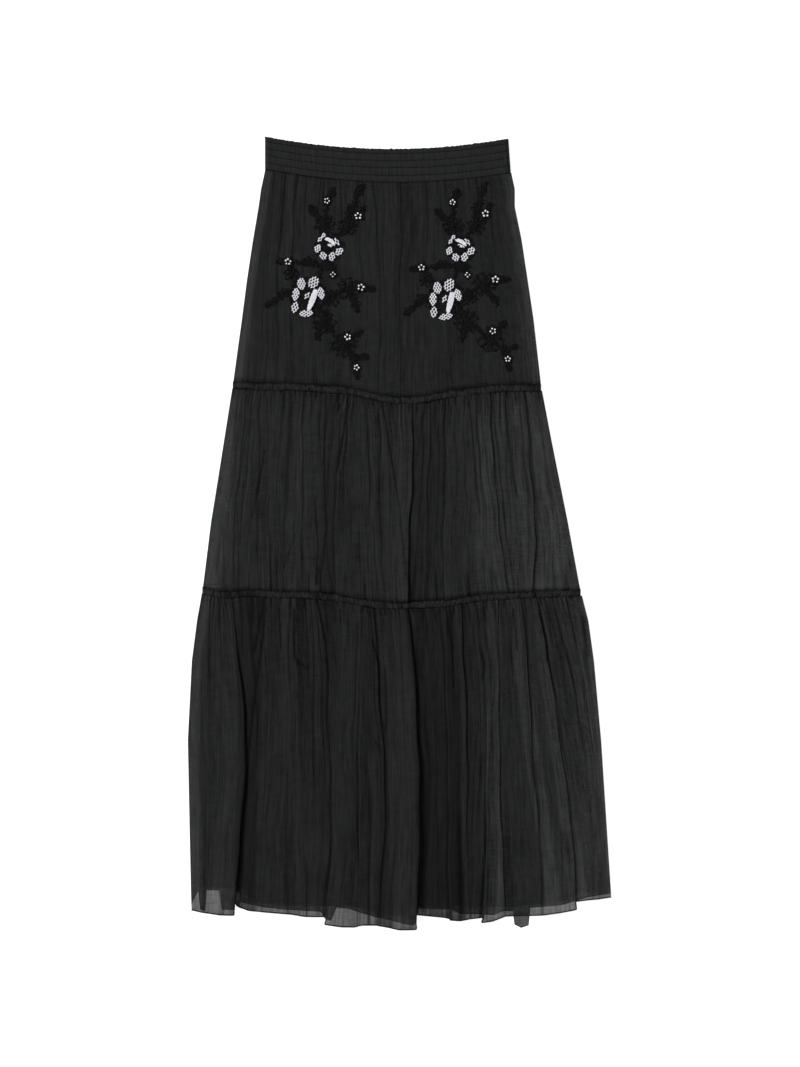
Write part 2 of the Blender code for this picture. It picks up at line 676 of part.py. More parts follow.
def add_seam_bands():
    """The corded band over each tier seam, front and back."""
    for name, seam in (("upper_seam", UPPER_SEAM), ("lower_seam", LOWER_SEAM)):
        front = band_grid(seam, BAND_COLUMNS, BAND_FRONT, front_level)
        back = band_grid(seam, BACK_COLUMNS, BAND_BACK, lambda x, drop: CLOTH)
        sheet(name + "_front", "trim", front, CLOTH)
        sheet(name + "_back", "trim", back, CLOTH)


def build():
    """Make the skirt."""
    clear_scene()
    for name in (COLLECTION, CUTTERS):
        bpy.context.scene.collection.children.link(bpy.data.collections.new(name))

    yoke = tier_grid(YOKE_FOLDS, YOKE_ROWS, YOKE_GATHERS, waist_seam_below, upper_seam_above)
    middle = tier_grid(MIDDLE_FOLDS, MIDDLE_ROWS, MIDDLE_GATHERS, upper_seam_below, lower_seam_above)
    bottom = tier_grid(BOTTOM_FOLDS, BOTTOM_ROWS, BOTTOM_GATHERS, lower_seam_below, front_hem)
    sheet("yoke_front", "cloth", yoke, FOLDED_CLOTH)
    sheet("middle_tier_front", "cloth", middle, FOLDED_CLOTH)
    sheet("bottom_tier_front", "cloth", with_hem_roll(bottom), FOLDED_CLOTH)

    add_waistband()
    add_back_panels()
    add_lining()
    add_seam_bands()
    for name, x, drop, upper_turn, lower_turn in SPRAYS:
        lace_spray(name, x, drop, upper_turn, lower_turn, yoke)


build()
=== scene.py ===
"""Looks of a sheer tiered maxi skirt that lies flat with its front up, around its fixed solids.

Each cloth piece is a thin shell on its solid's form, with the folds and gathers of the laid skirt.
Sizes are in millimetres until a mesh is made. A place on the skirt is given by x, from the middle
line to the right, by its drop, measured down the skirt from the waist, and by its height.
"""

import logging
import math
import random
from dataclasses import dataclass, field
from enum import Enum
from typing import Any, Iterator, Sequence, Union

import bpy
import numpy as np
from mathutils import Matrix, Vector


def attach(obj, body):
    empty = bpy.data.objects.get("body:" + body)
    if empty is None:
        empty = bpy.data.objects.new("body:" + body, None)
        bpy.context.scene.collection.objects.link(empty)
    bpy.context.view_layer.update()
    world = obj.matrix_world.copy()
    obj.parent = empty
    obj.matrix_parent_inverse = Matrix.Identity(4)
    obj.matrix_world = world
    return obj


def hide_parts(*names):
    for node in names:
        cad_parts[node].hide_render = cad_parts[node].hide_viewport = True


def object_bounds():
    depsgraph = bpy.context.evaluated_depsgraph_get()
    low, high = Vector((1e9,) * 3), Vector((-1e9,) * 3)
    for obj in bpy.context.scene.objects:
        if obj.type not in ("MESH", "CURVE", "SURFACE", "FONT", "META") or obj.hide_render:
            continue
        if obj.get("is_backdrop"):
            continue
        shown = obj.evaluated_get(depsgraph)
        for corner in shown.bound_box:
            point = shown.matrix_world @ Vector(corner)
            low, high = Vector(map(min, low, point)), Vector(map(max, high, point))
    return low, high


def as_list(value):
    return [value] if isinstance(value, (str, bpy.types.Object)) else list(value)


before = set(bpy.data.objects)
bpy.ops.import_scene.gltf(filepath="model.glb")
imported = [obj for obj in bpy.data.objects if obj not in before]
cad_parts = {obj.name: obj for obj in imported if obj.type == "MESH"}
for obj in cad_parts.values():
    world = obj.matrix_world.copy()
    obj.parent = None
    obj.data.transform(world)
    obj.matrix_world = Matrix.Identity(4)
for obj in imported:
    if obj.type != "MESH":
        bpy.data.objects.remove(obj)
CAD_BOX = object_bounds()

LOG = logging.getLogger("maxi_skirt")
BODY = "root"
MM = 0.001
LENGTH = 991.0
SEAM_GAP = 0.3
PLACE = "cut_place"

Array = np.ndarray
Rows = tuple[tuple[float, ...], ...]
Colour = tuple[float, float, float]
Span = tuple[float, float]


def smooth(share: Array) -> Array:
    """Ease from 0 to 1 as the share goes from 0 to 1."""
    share = np.clip(share, 0.0, 1.0)
    return share * share * (3.0 - 2.0 * share)


def curve_through(rows: Rows, at: Array) -> Array:
    """Read a table of two columns as a smooth curve through its rows.

    Args:
        rows: pairs of a place and the value there, sorted by place.
        at: the places to read at.

    Returns:
        The value at each place.
    """
    places, values = np.array(rows).T
    at = np.clip(at, places[0], places[-1])
    index = np.clip(np.searchsorted(places, at, side="left") - 1, 0, len(places) - 2)
    before = np.maximum(np.arange(len(places)) - 1, 0)
    after = np.minimum(np.arange(len(places)) + 1, len(places) - 1)
    slopes = (values[after] - values[before]) / (places[after] - places[before])
    reach = places[index + 1] - places[index]
    share = (at - places[index]) / reach
    bend0 = share * (1.0 - share) ** 2 * reach * slopes[index]
    bend1 = share * share * (share - 1.0) * reach * slopes[index + 1]
    return values[index] + (values[index + 1] - values[index]) * smooth(share) + bend0 + bend1


def points_of(*parts: Array | float) -> Array:
    """Join coordinates into points."""
    return np.stack(np.broadcast_arrays(*parts), axis=-1)


def cloth_places(across: Array, drop: Array, tone: Array) -> Array:
    """Where points lie on their cut piece, across and down, and their tone: painted shade, painted light
    below 0, and on the lining how thin it looks.
    """
    return points_of(across * MM, drop * MM, tone)


def uneven_places(across: Array, spacing: Span, choice: random.Random) -> Iterator[float]:
    """Walk across a cloth in uneven steps.

    Args:
        across: where the cloth's columns lie.
        spacing: the shortest and the longest step.
        choice: the seeded source of uneven values.

    Yields:
        Each place on the way.
    """
    place = across.min() + choice.uniform(0.0, spacing[1])
    while place < across.max():
        yield place
        place += choice.uniform(*spacing)


class Edge(Enum):
    """An edge of a cut piece, across the skirt."""

    WAIST = "top edge of the waistband"
    WAIST_SEAM = "under the waistband"
    UPPER_SEAM = "middle of the upper tier seam"
    YOKE_FOOT = "above the upper tier seam"
    MIDDLE_TOP = "below the upper tier seam"
    LOWER_SEAM = "middle of the lower tier seam"
    MIDDLE_FOOT = "above the lower tier seam"
    BOTTOM_TOP = "below the lower tier seam"
    FRONT_HEM = "hem of the front"
    BACK_HEM = "hem of the back"
    LINING_HEM = "hem of the lining"


@dataclass(frozen=True)
class Pattern:
    """The laid skirt's outline, seams and hems."""

    # drop, left, right
    outline: Rows = (
        (0.0, -168.0, 136.0), (42.0, -168.0, 139.0), (66.0, -173.0, 144.0), (88.0, -176.0, 144.0),
        (130.0, -183.0, 152.5), (180.0, -190.5, 160.0), (230.0, -197.0, 167.5),
        (312.0, -208.5, 177.0), (380.0, -219.5, 190.0), (480.0, -235.5, 210.0),
        (562.0, -245.5, 225.0), (605.0, -253.0, 236.0), (655.0, -259.5, 243.0),
        (755.0, -264.5, 252.0), (855.0, -262.5, 258.5), (949.0, -260.5, 264.5),
        (LENGTH, -259.0, 264.5),
    )
    # share of the width, drop
    upper_seam: Rows = (
        (0.00, 311.0), (0.10, 312.5), (0.21, 314.0), (0.36, 317.5), (0.45, 325.0), (0.52, 329.0),
        (0.62, 329.0), (0.67, 325.0), (0.76, 319.0), (0.88, 315.5), (1.00, 314.0),
    )
    lower_seam: Rows = (
        (0.00, 567.0), (0.06, 573.0), (0.12, 571.0), (0.21, 572.5), (0.35, 576.0), (0.42, 582.5),
        (0.49, 586.0), (0.59, 585.0), (0.66, 582.0), (0.71, 578.0), (0.77, 575.0), (1.00, 570.0),
    )
    # x, drop
    front_hem: Rows = (
        (-261.0, 967.0), (-244.0, 970.0), (-224.0, 972.5), (-206.2, 972.5), (-203.2, 953.0),
        (-199.0, 962.0), (-187.0, 967.5), (-137.0, 972.0), (-118.0, 975.0), (-96.1, 975.0),
        (-93.1, 984.5), (-74.0, 987.5), (-59.0, 988.0), (-47.0, 985.6), (-29.0, 985.6),
        (-14.0, 988.0), (1.0, LENGTH), (21.2, 990.0), (24.2, 972.5), (54.0, 976.0), (63.0, 979.0),
        (76.0, 980.0), (99.4, 976.0), (102.4, 982.0), (116.0, 980.6), (132.0, 974.4),
        (182.0, 973.0), (201.0, 970.0), (220.6, 966.0), (223.6, 956.0), (238.0, 954.0),
        (265.0, 951.0),
    )
    back_hem: Rows = (
        (-261.0, 960.0), (-251.0, 942.0), (-249.0, 966.0), (-243.0, 968.0), (-241.5, 942.0),
        (-225.0, 942.0), (-222.0, 966.0), (-206.0, 967.0), (-205.0, 944.0), (-200.0, 944.0),
        (-198.5, 957.0), (-172.0, 963.0), (-146.0, 966.0), (-97.0, 969.0), (-93.0, 978.0),
        (-86.0, 980.0), (-79.0, 963.5), (-64.0, 965.0), (-49.5, 970.0), (-30.6, 975.6),
        (-12.0, 979.5), (9.0, 985.0), (18.0, 986.0), (24.0, 965.0), (63.0, 966.0), (78.0, 972.0),
        (99.0, 972.0), (118.0, 973.0), (130.0, 968.0), (142.0, 968.0), (144.0, 985.0),
        (152.0, 989.0), (161.0, 986.0), (163.0, 964.0), (201.0, 961.0), (238.0, 950.0),
        (265.0, 946.0),
    )
    lining_hem: Rows = (
        (-250.0, 938.0), (-225.0, 938.0), (-198.0, 940.0), (-180.0, 957.0), (-146.0, 961.0),
        (-97.0, 962.0), (-64.0, 961.0), (-44.0, 966.0), (-24.0, 971.0), (2.0, 975.0),
        (18.0, 962.0), (63.0, 961.0), (142.0, 963.0), (163.0, 960.0), (201.0, 957.0),
        (224.0, 948.0), (252.0, 942.0),
    )
    # An arc's drop at its left and right end, and how far its middle sags.
    waist_top: tuple[float, float, float] = (0.0, 2.5, 14.3)
    waist_seam: tuple[float, float, float] = (40.5, 45.0, 14.2)
    band_half_width: float = 3.4
    # How far in the cloth rolls down to its side seams, and the front's height inside and at them.
    side_roll: float = 13.0
    front_level: float = 5.5
    side_level: float = 2.1

    def sides(self, drop: Array) -> tuple[Array, Array]:
        """The x of the left and of the right side at each drop."""
        drops, left, right = np.array(self.outline).T
        return np.interp(drop, drops, left), np.interp(drop, drops, right)

    def inner_share(self, x: Array, drop: Array) -> Array:
        """How far in a point lies: 0 at a side seam, and 1 where the cloth is level."""
        left, right = self.sides(drop)
        return smooth(np.minimum(x - left, right - x) / self.side_roll)

    def front_height(self, inner: Array) -> Array:
        """The height of the flat front, before its folds."""
        return self.side_level + (self.front_level - self.side_level) * inner

    def _arc(self, arc: tuple[float, float, float], x: Array) -> Array:
        """The drop of a waistband edge at each x."""
        left, right = self.sides(arc[0])
        share = (x - left) / (right - left)
        return arc[0] + (arc[1] - arc[0]) * share + arc[2] * 4.0 * share * (1.0 - share)

    def _seam(self, seam: Rows, x: Array) -> Array:
        """The drop of a tier seam's middle at each x."""
        left, right = self.sides(seam[0][1])
        return curve_through(seam, (x - left) / (right - left))

    def drop_of(self, edge: Edge, x: Array) -> Array:
        """The drop of an edge.

        Args:
            edge: which edge.
            x: the places along it.

        Returns:
            The edge's drop at each place.
        """
        apart = self.band_half_width + SEAM_GAP
        if edge is Edge.WAIST:
            return self._arc(self.waist_top, x)
        if edge is Edge.WAIST_SEAM:
            return self._arc(self.waist_seam, x) + SEAM_GAP
        if edge in (Edge.UPPER_SEAM, Edge.YOKE_FOOT, Edge.MIDDLE_TOP):
            aside = {Edge.UPPER_SEAM: 0.0, Edge.YOKE_FOOT: -apart, Edge.MIDDLE_TOP: apart}[edge]
            return self._seam(self.upper_seam, x) + aside
        if edge in (Edge.LOWER_SEAM, Edge.MIDDLE_FOOT, Edge.BOTTOM_TOP):
            aside = {Edge.LOWER_SEAM: 0.0, Edge.MIDDLE_FOOT: -apart, Edge.BOTTOM_TOP: apart}[edge]
            return self._seam(self.lower_seam, x) + aside
        hem = {Edge.FRONT_HEM: self.front_hem, Edge.BACK_HEM: self.back_hem}.get(edge, self.lining_hem)
        places, drops = np.array(hem).T
        return np.interp(x, places, drops)

    def sides_between(self, top: Edge, foot: Edge, shares: Array) -> tuple[Array, Array]:
        """The x of a piece's two sides.

        Args:
            top: the piece's top edge.
            foot: its foot.
            shares: how far down the piece each row is.

        Returns:
            The left and the right side at each row.
        """
        found = []
        for side in (0, 1):
            start = self.drop_of(top, self.sides(self.drop_of(top, 0.0))[side])
            end = self.drop_of(foot, self.sides(self.drop_of(foot, 0.0))[side])
            found.append(self.sides(start + shares * (end - start))[side])
        return found[0], found[1]


PATTERN = Pattern()


class Face(Enum):
    """Which way a shell's outer side looks."""

    UP = 1
    DOWN = -1


Operand = Union["Wire", float, Colour]


@dataclass(frozen=True)
class Wire:
    """One output of a shader node, written into sums as a plain value."""

    recipe: "Recipe"
    socket: bpy.types.NodeSocket

    def _joined(self, operation: str, first: Operand, second: Operand) -> "Wire":
        """Join two values, as vectors if either is one.

        Args:
            operation: the sum's name, as the nodes give it.
            first: the value before the sign.
            second: the value after the sign.

        Returns:
            The sum's result.
        """
        kinds = {value.socket.type for value in (first, second) if isinstance(value, Wire)}
        kind = "ShaderNodeVectorMath" if "VECTOR" in kinds else "ShaderNodeMath"
        return self.recipe.node(kind, {"operation": operation}, {0: first, 1: second})

    def __add__(self, other: Operand) -> "Wire":
        """This value plus another."""
        return self._joined("ADD", self, other)

    __radd__ = __add__

    def __sub__(self, other: Operand) -> "Wire":
        """This value less another."""
        return self._joined("SUBTRACT", self, other)

    def __rsub__(self, other: Operand) -> "Wire":
        """Another value less this one."""
        return self._joined("SUBTRACT", other, self)

    def __mul__(self, other: Operand) -> "Wire":
        """This value times another."""
        return self._joined("MULTIPLY", self, other)

    def clamped(self, limits: Span = (0.0, 1.0)) -> "Wire":
        """This value, kept between two limits."""
        return self.recipe.node("ShaderNodeClamp", {}, {0: self, 1: limits[0], 2: limits[1]})


@dataclass(frozen=True)
class Grain:
    """One layer of unevenness: its repeats in a metre each way, and its part in shade and relief."""

    repeats: Colour
    shade: float
    relief: float = 0.0
    detail: float = 2.0
    roughness: float = 0.6


@dataclass
class Recipe:
    """The node tree of one material."""

    name: str
    material: bpy.types.Material = field(init=False)

    def __post_init__(self) -> None:
        """Start the material with its Principled shader and its output."""
        self.material = bpy.data.materials.new(self.name)
        self.material.use_nodes = True

    def node(
        self,
        kind: str,
        settings: dict[str, Any],
        inputs: dict[Union[int, str], Operand],
        output: Union[int, str] = 0,
    ) -> Wire:
        """Add a node.

        Args:
            kind: the node's type.
            settings: its properties, which are set before its sockets.
            inputs: each socket's value or the wire that feeds it.
            output: the output that is used.

        Returns:
            That output.
        """
        made = self.material.node_tree.nodes.new(kind)
        for name, value in settings.items():
            setattr(made, name, value)
        for socket, value in inputs.items():
            self.feed(made.inputs[socket], value)
        return Wire(self, made.outputs[output])

    def feed(self, socket: bpy.types.NodeSocket, value: Operand) -> None:
        """Set a socket or link a wire to it.

        Args:
            socket: the socket.
            value: a number, a colour or vector, or a wire.
        """
        if isinstance(value, Wire):
            self.material.node_tree.links.new(value.socket, socket)
        else:
            socket.default_value = (*value, 1.0) if socket.type == "RGBA" else value

    def cloth_place(self) -> Wire:
        """Where a point lies on its cut piece: across, down, and its tone of painted shade."""
        return self.node("ShaderNodeAttribute", {"attribute_name": PLACE}, {}, "Vector")

    def object_place(self) -> Wire:
        """Where a point lies on the whole skirt."""
        return self.node("ShaderNodeTexCoord", {}, {}, "Object")

    def part(self, place: Wire, axis: str) -> Wire:
        """One part of a place on the cloth: Y is down the skirt in metres, and Z is the tone of painted
        shade.
        """
        return self.node("ShaderNodeSeparateXYZ", {}, {0: place}, axis)

    def uneven(self, where: Wire, grain: Grain) -> Wire:
        """The noise of a layer of unevenness, about -0.5 to 0.5."""
        inputs = {
            "Vector": where * grain.repeats, "Scale": 1.0, "Detail": grain.detail,
            "Roughness": grain.roughness,
        }
        return self.node("ShaderNodeTexNoise", {"noise_dimensions": "3D"}, inputs) - 0.5

    def tinted(self, colour: Colour, shade: Wire) -> Wire:
        """A colour that a shade makes lighter or darker."""
        settings = {"data_type": "RGBA", "blend_type": "MULTIPLY"}
        return self.node("ShaderNodeMix", settings, {0: 1.0, 6: colour, 7: shade}, 2)

    def bump(self, strength: float, distance: float, height: Wire) -> Wire:
        """The surface's direction over fine relief."""
        inputs = {"Strength": strength, "Distance": distance, "Height": height}
        return self.node("ShaderNodeBump", {}, inputs, "Normal")

    def finish(self, sockets: dict[str, Operand]) -> bpy.types.Material:
        """Set the shader's sockets, and give the finished material."""
        shader = self.material.node_tree.nodes["Principled BSDF"]
        for name, value in {"Metallic": 0.0, **sockets}.items():
            self.feed(shader.inputs[name], value)
        return self.material


@dataclass(frozen=True)
class Voile:
    """Sheer crinkled voile: light passes through it, fine crinkles run down it, and its colour carries
    painted shade and painted light.
    """

    name: str = "voile"
    colour: Colour = (0.0160, 0.0165, 0.0164)
    roughness: float = 0.6
    gloss: float = 0.08
    # crinkles, streaks, whole stretches, slubs across the cloth and blotches
    grains: tuple[Grain, ...] = (
        Grain((560.0, 22.0, 0.0), 2.2, 0.8),
        Grain((130.0, 4.0, 0.0), 1.1, 0.6),
        Grain((34.0, 2.4, 0.0), 0.8, roughness=0.5),
        Grain((50.0, 620.0, 0.0), 1.2, 0.2, roughness=0.5),
        Grain((110.0, 90.0, 0.0), 0.7, detail=3.0),
    )
    shade_limits: Span = (0.1, 4.0)
    # How much the painted shade darkens the colour, and how much painted light, where the tone is below 0,
    # lightens it.
    painted_shade_share: float = 0.8
    glow: float = 2.0
    # How far down the skirt, in metres, the middle and the bottom tier start, and how suddenly.
    tier_starts: Span = (0.315, 0.570)
    tier_step: float = 40.0
    lower_gain: float = 0.25
    foot_shade: float = 0.15
    opacity: float = 0.67
    grain_cover: float = 0.12
    depth_cover: float = 0.2
    cover_limits: Span = (0.05, 0.97)

    def material(self) -> bpy.types.Material:
        """The finished material."""
        recipe = Recipe(self.name)
        place = recipe.cloth_place()
        noises = [(grain, recipe.uneven(place, grain)) for grain in self.grains]
        uneven = sum(noise * grain.shade for grain, noise in noises)
        relief = sum(noise * grain.relief for grain, noise in noises if grain.relief)
        # The tone is painted shade from 0 to 1, and painted light below 0.
        tone = recipe.part(place, "Z")
        depth = tone.clamped()
        painted_light = 1.0 + (depth - tone) * self.glow
        drop = recipe.part(place, "Y")
        # Lighter from the middle tier down, and darker again in the bottom tier.
        lower, foot = (((drop - start) * self.tier_step).clamped() for start in self.tier_starts)
        level = (1.0 + lower * self.lower_gain) * (1.0 - foot * self.foot_shade)
        # The colour: random grain times painted shade, the tier steps and painted light. The cloth covers
        # more where it is painted darker.
        shade = (1.0 + uneven) * (1.0 - depth * self.painted_shade_share) * level * painted_light
        cover = self.opacity - uneven * self.grain_cover + depth * self.depth_cover
        return recipe.finish({
            "Base Color": recipe.tinted(self.colour, shade.clamped(self.shade_limits)),
            "Alpha": cover.clamped(self.cover_limits), "Normal": recipe.bump(0.4, 0.0007, relief),
            "Roughness": self.roughness, "Specular IOR Level": self.gloss,
        })


@dataclass(frozen=True)
class SheerLining:
    """Smooth woven lining, nearly closed in the middle and thinner towards its sides."""

    name: str = "lining"
    colour: Colour = (0.0085, 0.0087, 0.0087)
    roughness: float = 0.5
    gloss: float = 0.12
    grain: Grain = Grain((60.0, 4.0, 0.0), 0.8)
    shade_limits: Span = (0.2, 2.0)
    opacity: float = 0.86
    thinning: float = 0.80
    grain_cover: float = 0.1
    cover_limits: Span = (0.05, 0.99)

    def material(self) -> bpy.types.Material:
        """The finished material."""
        recipe = Recipe(self.name)
        place = recipe.cloth_place()
        uneven = recipe.uneven(place, self.grain)
        shade = 1.0 + uneven * self.grain.shade
        cover = self.opacity - recipe.part(place, "Z") * self.thinning - uneven * self.grain_cover
        return recipe.finish({
            "Base Color": recipe.tinted(self.colour, shade.clamped(self.shade_limits)),
            "Alpha": cover.clamped(self.cover_limits),
            "Roughness": self.roughness, "Specular IOR Level": self.gloss,
        })


@dataclass(frozen=True)
class ClosedCloth:
    """Dark woven cloth that no light passes through, with a grain that runs one way and painted shade in its
    grooves and puckers.
    """

    name: str
    colour: Colour
    roughness: float
    contrast: float
    painted_shade_share: float
    gloss: float = 0.08
    repeats: Colour = (500.0, 60.0, 0.0)
    shade_limits: Span = (0.12, 2.0)

    def material(self) -> bpy.types.Material:
        """The finished material."""
        recipe = Recipe(self.name)
        place = recipe.cloth_place()
        uneven = recipe.uneven(place, Grain(self.repeats, self.contrast, detail=3.0))
        # Painted shade: the tone darkens the colour in grooves, puckers and pinches.
        shade = 1.0 + uneven * self.contrast - recipe.part(place, "Z") * self.painted_shade_share
        return recipe.finish({
            "Base Color": recipe.tinted(self.colour, shade.clamped(self.shade_limits)),
            "Normal": recipe.bump(0.3, 0.0004, uneven),
            "Roughness": self.roughness, "Specular IOR Level": self.gloss,
        })


@dataclass(frozen=True)
class Thread:
    """Spun thread or cord, a little uneven in shade."""

    name: str
    colour: Colour
    roughness: float
    gloss: float
    grain: Grain = Grain((2500.0, 2500.0, 2500.0), 0.6)

    def material(self) -> bpy.types.Material:
        """The finished material."""
        recipe = Recipe(self.name)
        uneven = recipe.uneven(recipe.object_place(), self.grain)
        return recipe.finish({
            "Base Color": recipe.tinted(self.colour, 1.0 + uneven * self.grain.shade),
            "Normal": recipe.bump(0.4, 0.0002, uneven),
            "Roughness": self.roughness, "Specular IOR Level": self.gloss,
        })


@dataclass(frozen=True)
class LaceNet:
    """The fine black net between the lace's cords: part of the cloth below shows through."""

    name: str = "black_lace_ground"
    colour: Colour = (0.0045, 0.0045, 0.0050)
    opacity: float = 0.20
    mesh: Grain = Grain((700.0, 700.0, 700.0), 1.2)

    def material(self) -> bpy.types.Material:
        """The finished material."""
        recipe = Recipe(self.name)
        cover = self.opacity + recipe.uneven(recipe.object_place(), self.mesh) * self.mesh.shade
        return recipe.finish({
            "Base Color": self.colour, "Alpha": cover.clamped(),
            "Roughness": 0.9, "Specular IOR Level": 0.08,
        })


@dataclass(frozen=True)
class Glass:
    """Small milky glass beads under a clear coat."""

    name: str = "milky_glass"
    colour: Colour = (0.80, 0.80, 0.84)
    cloud: Grain = Grain((600.0, 600.0, 600.0), 0.3, roughness=0.5)
    roughness: float = 0.275
    rough_swing: float = 0.15

    def material(self) -> bpy.types.Material:
        """The finished material."""
        recipe = Recipe(self.name)
        cloud = recipe.uneven(recipe.object_place(), self.cloud)
        return recipe.finish({
            "Base Color": recipe.tinted(self.colour, 1.0 + cloud * self.cloud.shade),
            "Roughness": self.roughness + cloud * self.rough_swing,
            "Coat Weight": 0.6, "Coat Roughness": 0.08,
        })


@dataclass(frozen=True)
class PaleFloor:
    """The plain near-white floor."""

    name: str = "pale_floor"
    colour: Colour = (0.45, 0.45, 0.45)
    cloud: Grain = Grain((6.0, 6.0, 6.0), 0.02, roughness=0.5)
    glow: float = 0.85

    def material(self) -> bpy.types.Material:
        """The finished material."""
        recipe = Recipe(self.name)
        shade = 1.0 + recipe.uneven(recipe.object_place(), self.cloud) * self.cloud.shade
        return recipe.finish({
            "Base Color": recipe.tinted(self.colour, shade), "Roughness": 0.9, "Specular IOR Level": 0.0,
            "Emission Color": (1.0, 1.0, 1.0), "Emission Strength": self.glow,
        })


class Wardrobe:
    """The finishes, each made once."""

    def __init__(self) -> None:
        """Make every finish."""
        self.voile = Voile().material()
        self.lining = SheerLining().material()
        self.waistband = ClosedCloth("shirred_voile", (0.0143, 0.0148, 0.0147), 0.6, 1.2, 0.6).material()
        self.band = ClosedCloth("corded_voile", (0.0170, 0.0175, 0.0174), 0.7, 1.4, 0.8).material()
        self.stitch = Thread("black_stitches", (0.005, 0.005, 0.0055), 0.8, 0.1).material()
        self.hem = Thread("rolled_hem", (0.010, 0.010, 0.011), 0.8, 0.1).material()
        self.lace_ground = LaceNet().material()
        self.lace_cord = Thread("black_lace_cord", (0.0044, 0.0044, 0.0048), 0.8, 0.13).material()
        self.net = Thread(
            "white_net", (0.80, 0.79, 0.84), 0.7, 0.3, Grain((2500.0, 2500.0, 2500.0), 0.2),
        ).material()
        self.beads = Glass().material()


def fit(
    piece: bpy.types.Object,
    material: bpy.types.Material,
    slot: str = "",
    stands_for: Sequence[str] = (),
) -> bpy.types.Object:
    """Dress a finished piece and join it to the frame.

    Args:
        piece: the piece.
        material: its finish.
        slot: the record's slot that the finish belongs to; not used.
        stands_for: the fixed solids that the piece replaces.

    Returns:
        The piece.
    """
    piece.data.materials.clear()
    piece.data.materials.append(material)
    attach(piece, BODY)
    if stands_for:
        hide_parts(*stands_for)
    LOG.info("piece %s", piece.name)
    return piece


def in_metres(points: Array) -> Array:
    """Turn x, drop and height in millimetres into the frame's metres."""
    return np.stack([points[..., 0], LENGTH / 2.0 - points[..., 1], points[..., 2]], axis=-1) * MM


def placed(name: str, data: bpy.types.ID) -> bpy.types.Object:
    """Put data into the scene as an object."""
    made = bpy.data.objects.new(name, data)
    bpy.context.scene.collection.objects.link(made)
    return made


def joined_mesh(
    name: str, points: Array, faces: list[list[int]], place: Array | None = None,
) -> bpy.types.Object:
    """Make one smooth mesh object.

    Args:
        name: the object's name.
        points: its points, in millimetres.
        faces: the points of each face.
        place: where each point lies on its cut piece.

    Returns:
        The object.
    """
    mesh = bpy.data.meshes.new(name)
    mesh.from_pydata(in_metres(points).tolist(), [], faces)
    mesh.shade_smooth()
    if place is not None:
        stored = mesh.attributes.new(PLACE, "FLOAT_VECTOR", "POINT")
        stored.data.foreach_set("vector", place.astype(np.float32).ravel())
    return placed(name, mesh)


def thickened(piece: bpy.types.Object, thickness: float) -> bpy.types.Object:
    """Give a piece a wall of this thickness, inwards."""
    wall = piece.modifiers.new("wall", "SOLIDIFY")
    wall.thickness = thickness * MM
    wall.offset = -1.0
    return piece


@dataclass
class Shell:
    """A thin closed shell of cloth, made from a grid of points on its outer side."""

    name: str
    grid: Array
    place: Array
    thickness: float = 0.4
    outer: Face = Face.UP

    def build(self) -> bpy.types.Object:
        """Make the shell."""
        rows, columns = self.grid.shape[:2]
        index = np.arange(rows * columns).reshape(rows, columns)
        corners = [index[:-1, :-1], index[1:, :-1], index[1:, 1:], index[:-1, 1:]]
        if self.outer is Face.DOWN:
            corners.reverse()
        faces = points_of(*corners).reshape(-1, 4).tolist()
        made = joined_mesh(self.name, self.grid.reshape(-1, 3), faces, self.place.reshape(-1, 3))
        return thickened(made, self.thickness)


@dataclass
class Cords:
    """Many cords of one thickness, made as one curve."""

    name: str
    radius: float
    sides: int = 1
    paths: list[tuple[Array, Array]] = field(default_factory=list)

    def add(self, path: Array, taper: Array | float = 1.0) -> None:
        """Add a cord.

        Args:
            path: its middle line, in millimetres.
            taper: its thickness at each point, as a share of the full one.
        """
        self.paths.append((path, np.broadcast_to(np.asarray(taper, float), (len(path),))))

    def build(self) -> bpy.types.Object:
        """Make the curve."""
        curve = bpy.data.curves.new(self.name, "CURVE")
        curve.dimensions = "3D"
        curve.bevel_depth = self.radius * MM
        curve.bevel_resolution = self.sides
        curve.use_fill_caps = True
        for path, taper in self.paths:
            spline = curve.splines.new("POLY")
            spline.points.add(len(path) - 1)
            weighted = np.concatenate([in_metres(path), np.ones((len(path), 1))], axis=1)
            spline.points.foreach_set("co", weighted.ravel())
            spline.points.foreach_set("radius", np.ascontiguousarray(taper))
        return placed(self.name, curve)


def hollows(grid: Array, reach: float) -> Array:
    """How deep each point of a grid lies under its neighbours along its row.

    Args:
        grid: the grid.
        reach: how far to each side the neighbours are looked for.

    Returns:
        The depth at each point, from 0 to 1.
    """
    found = np.zeros(grid.shape[:2])
    for number, row in enumerate(grid):
        order = np.argsort(row[:, 0], kind="stable")
        x, height = row[order, 0], row[order, 2]
        left, right = (np.interp(x + side, x, height) for side in (-reach, reach))
        depth = np.minimum(left, right) - height
        rim = 0.5 * (left + right) - height
        found[number, order] = np.clip(0.5 * depth + 0.5 * rim, 0.0, 1.0)
    return found


# How far down a tier its folds' middle values hold.
KNEE = 0.3


def through(share: Array, top: float, knee: float, foot: float) -> Array:
    """The parabola with these values at a tier's top, knee and foot."""
    top_part = (share - KNEE) * (share - 1.0) / KNEE
    knee_part = share * (share - 1.0) / (KNEE * (KNEE - 1.0))
    foot_part = share * (share - KNEE) / (1.0 - KNEE)
    return top * top_part + knee * knee_part + foot * foot_part


def between(share: Array, top: float, knee: float, foot: float) -> Array:
    """The same three values, joined by straight stretches."""
    return np.interp(share, (0.0, KNEE, 1.0), (top, knee, foot))


def knee_row(shares: Array) -> int:
    """The row nearest to the knee."""
    return int(np.argmin(np.abs(shares - KNEE)))


@dataclass(frozen=True)
class Fold:
    """A large fold: its sharp edge's x, its facing (right +1, left -1), its run and its rise."""

    edge: tuple[float, float, float]
    facing: int
    run: float
    rise: tuple[float, float, float]


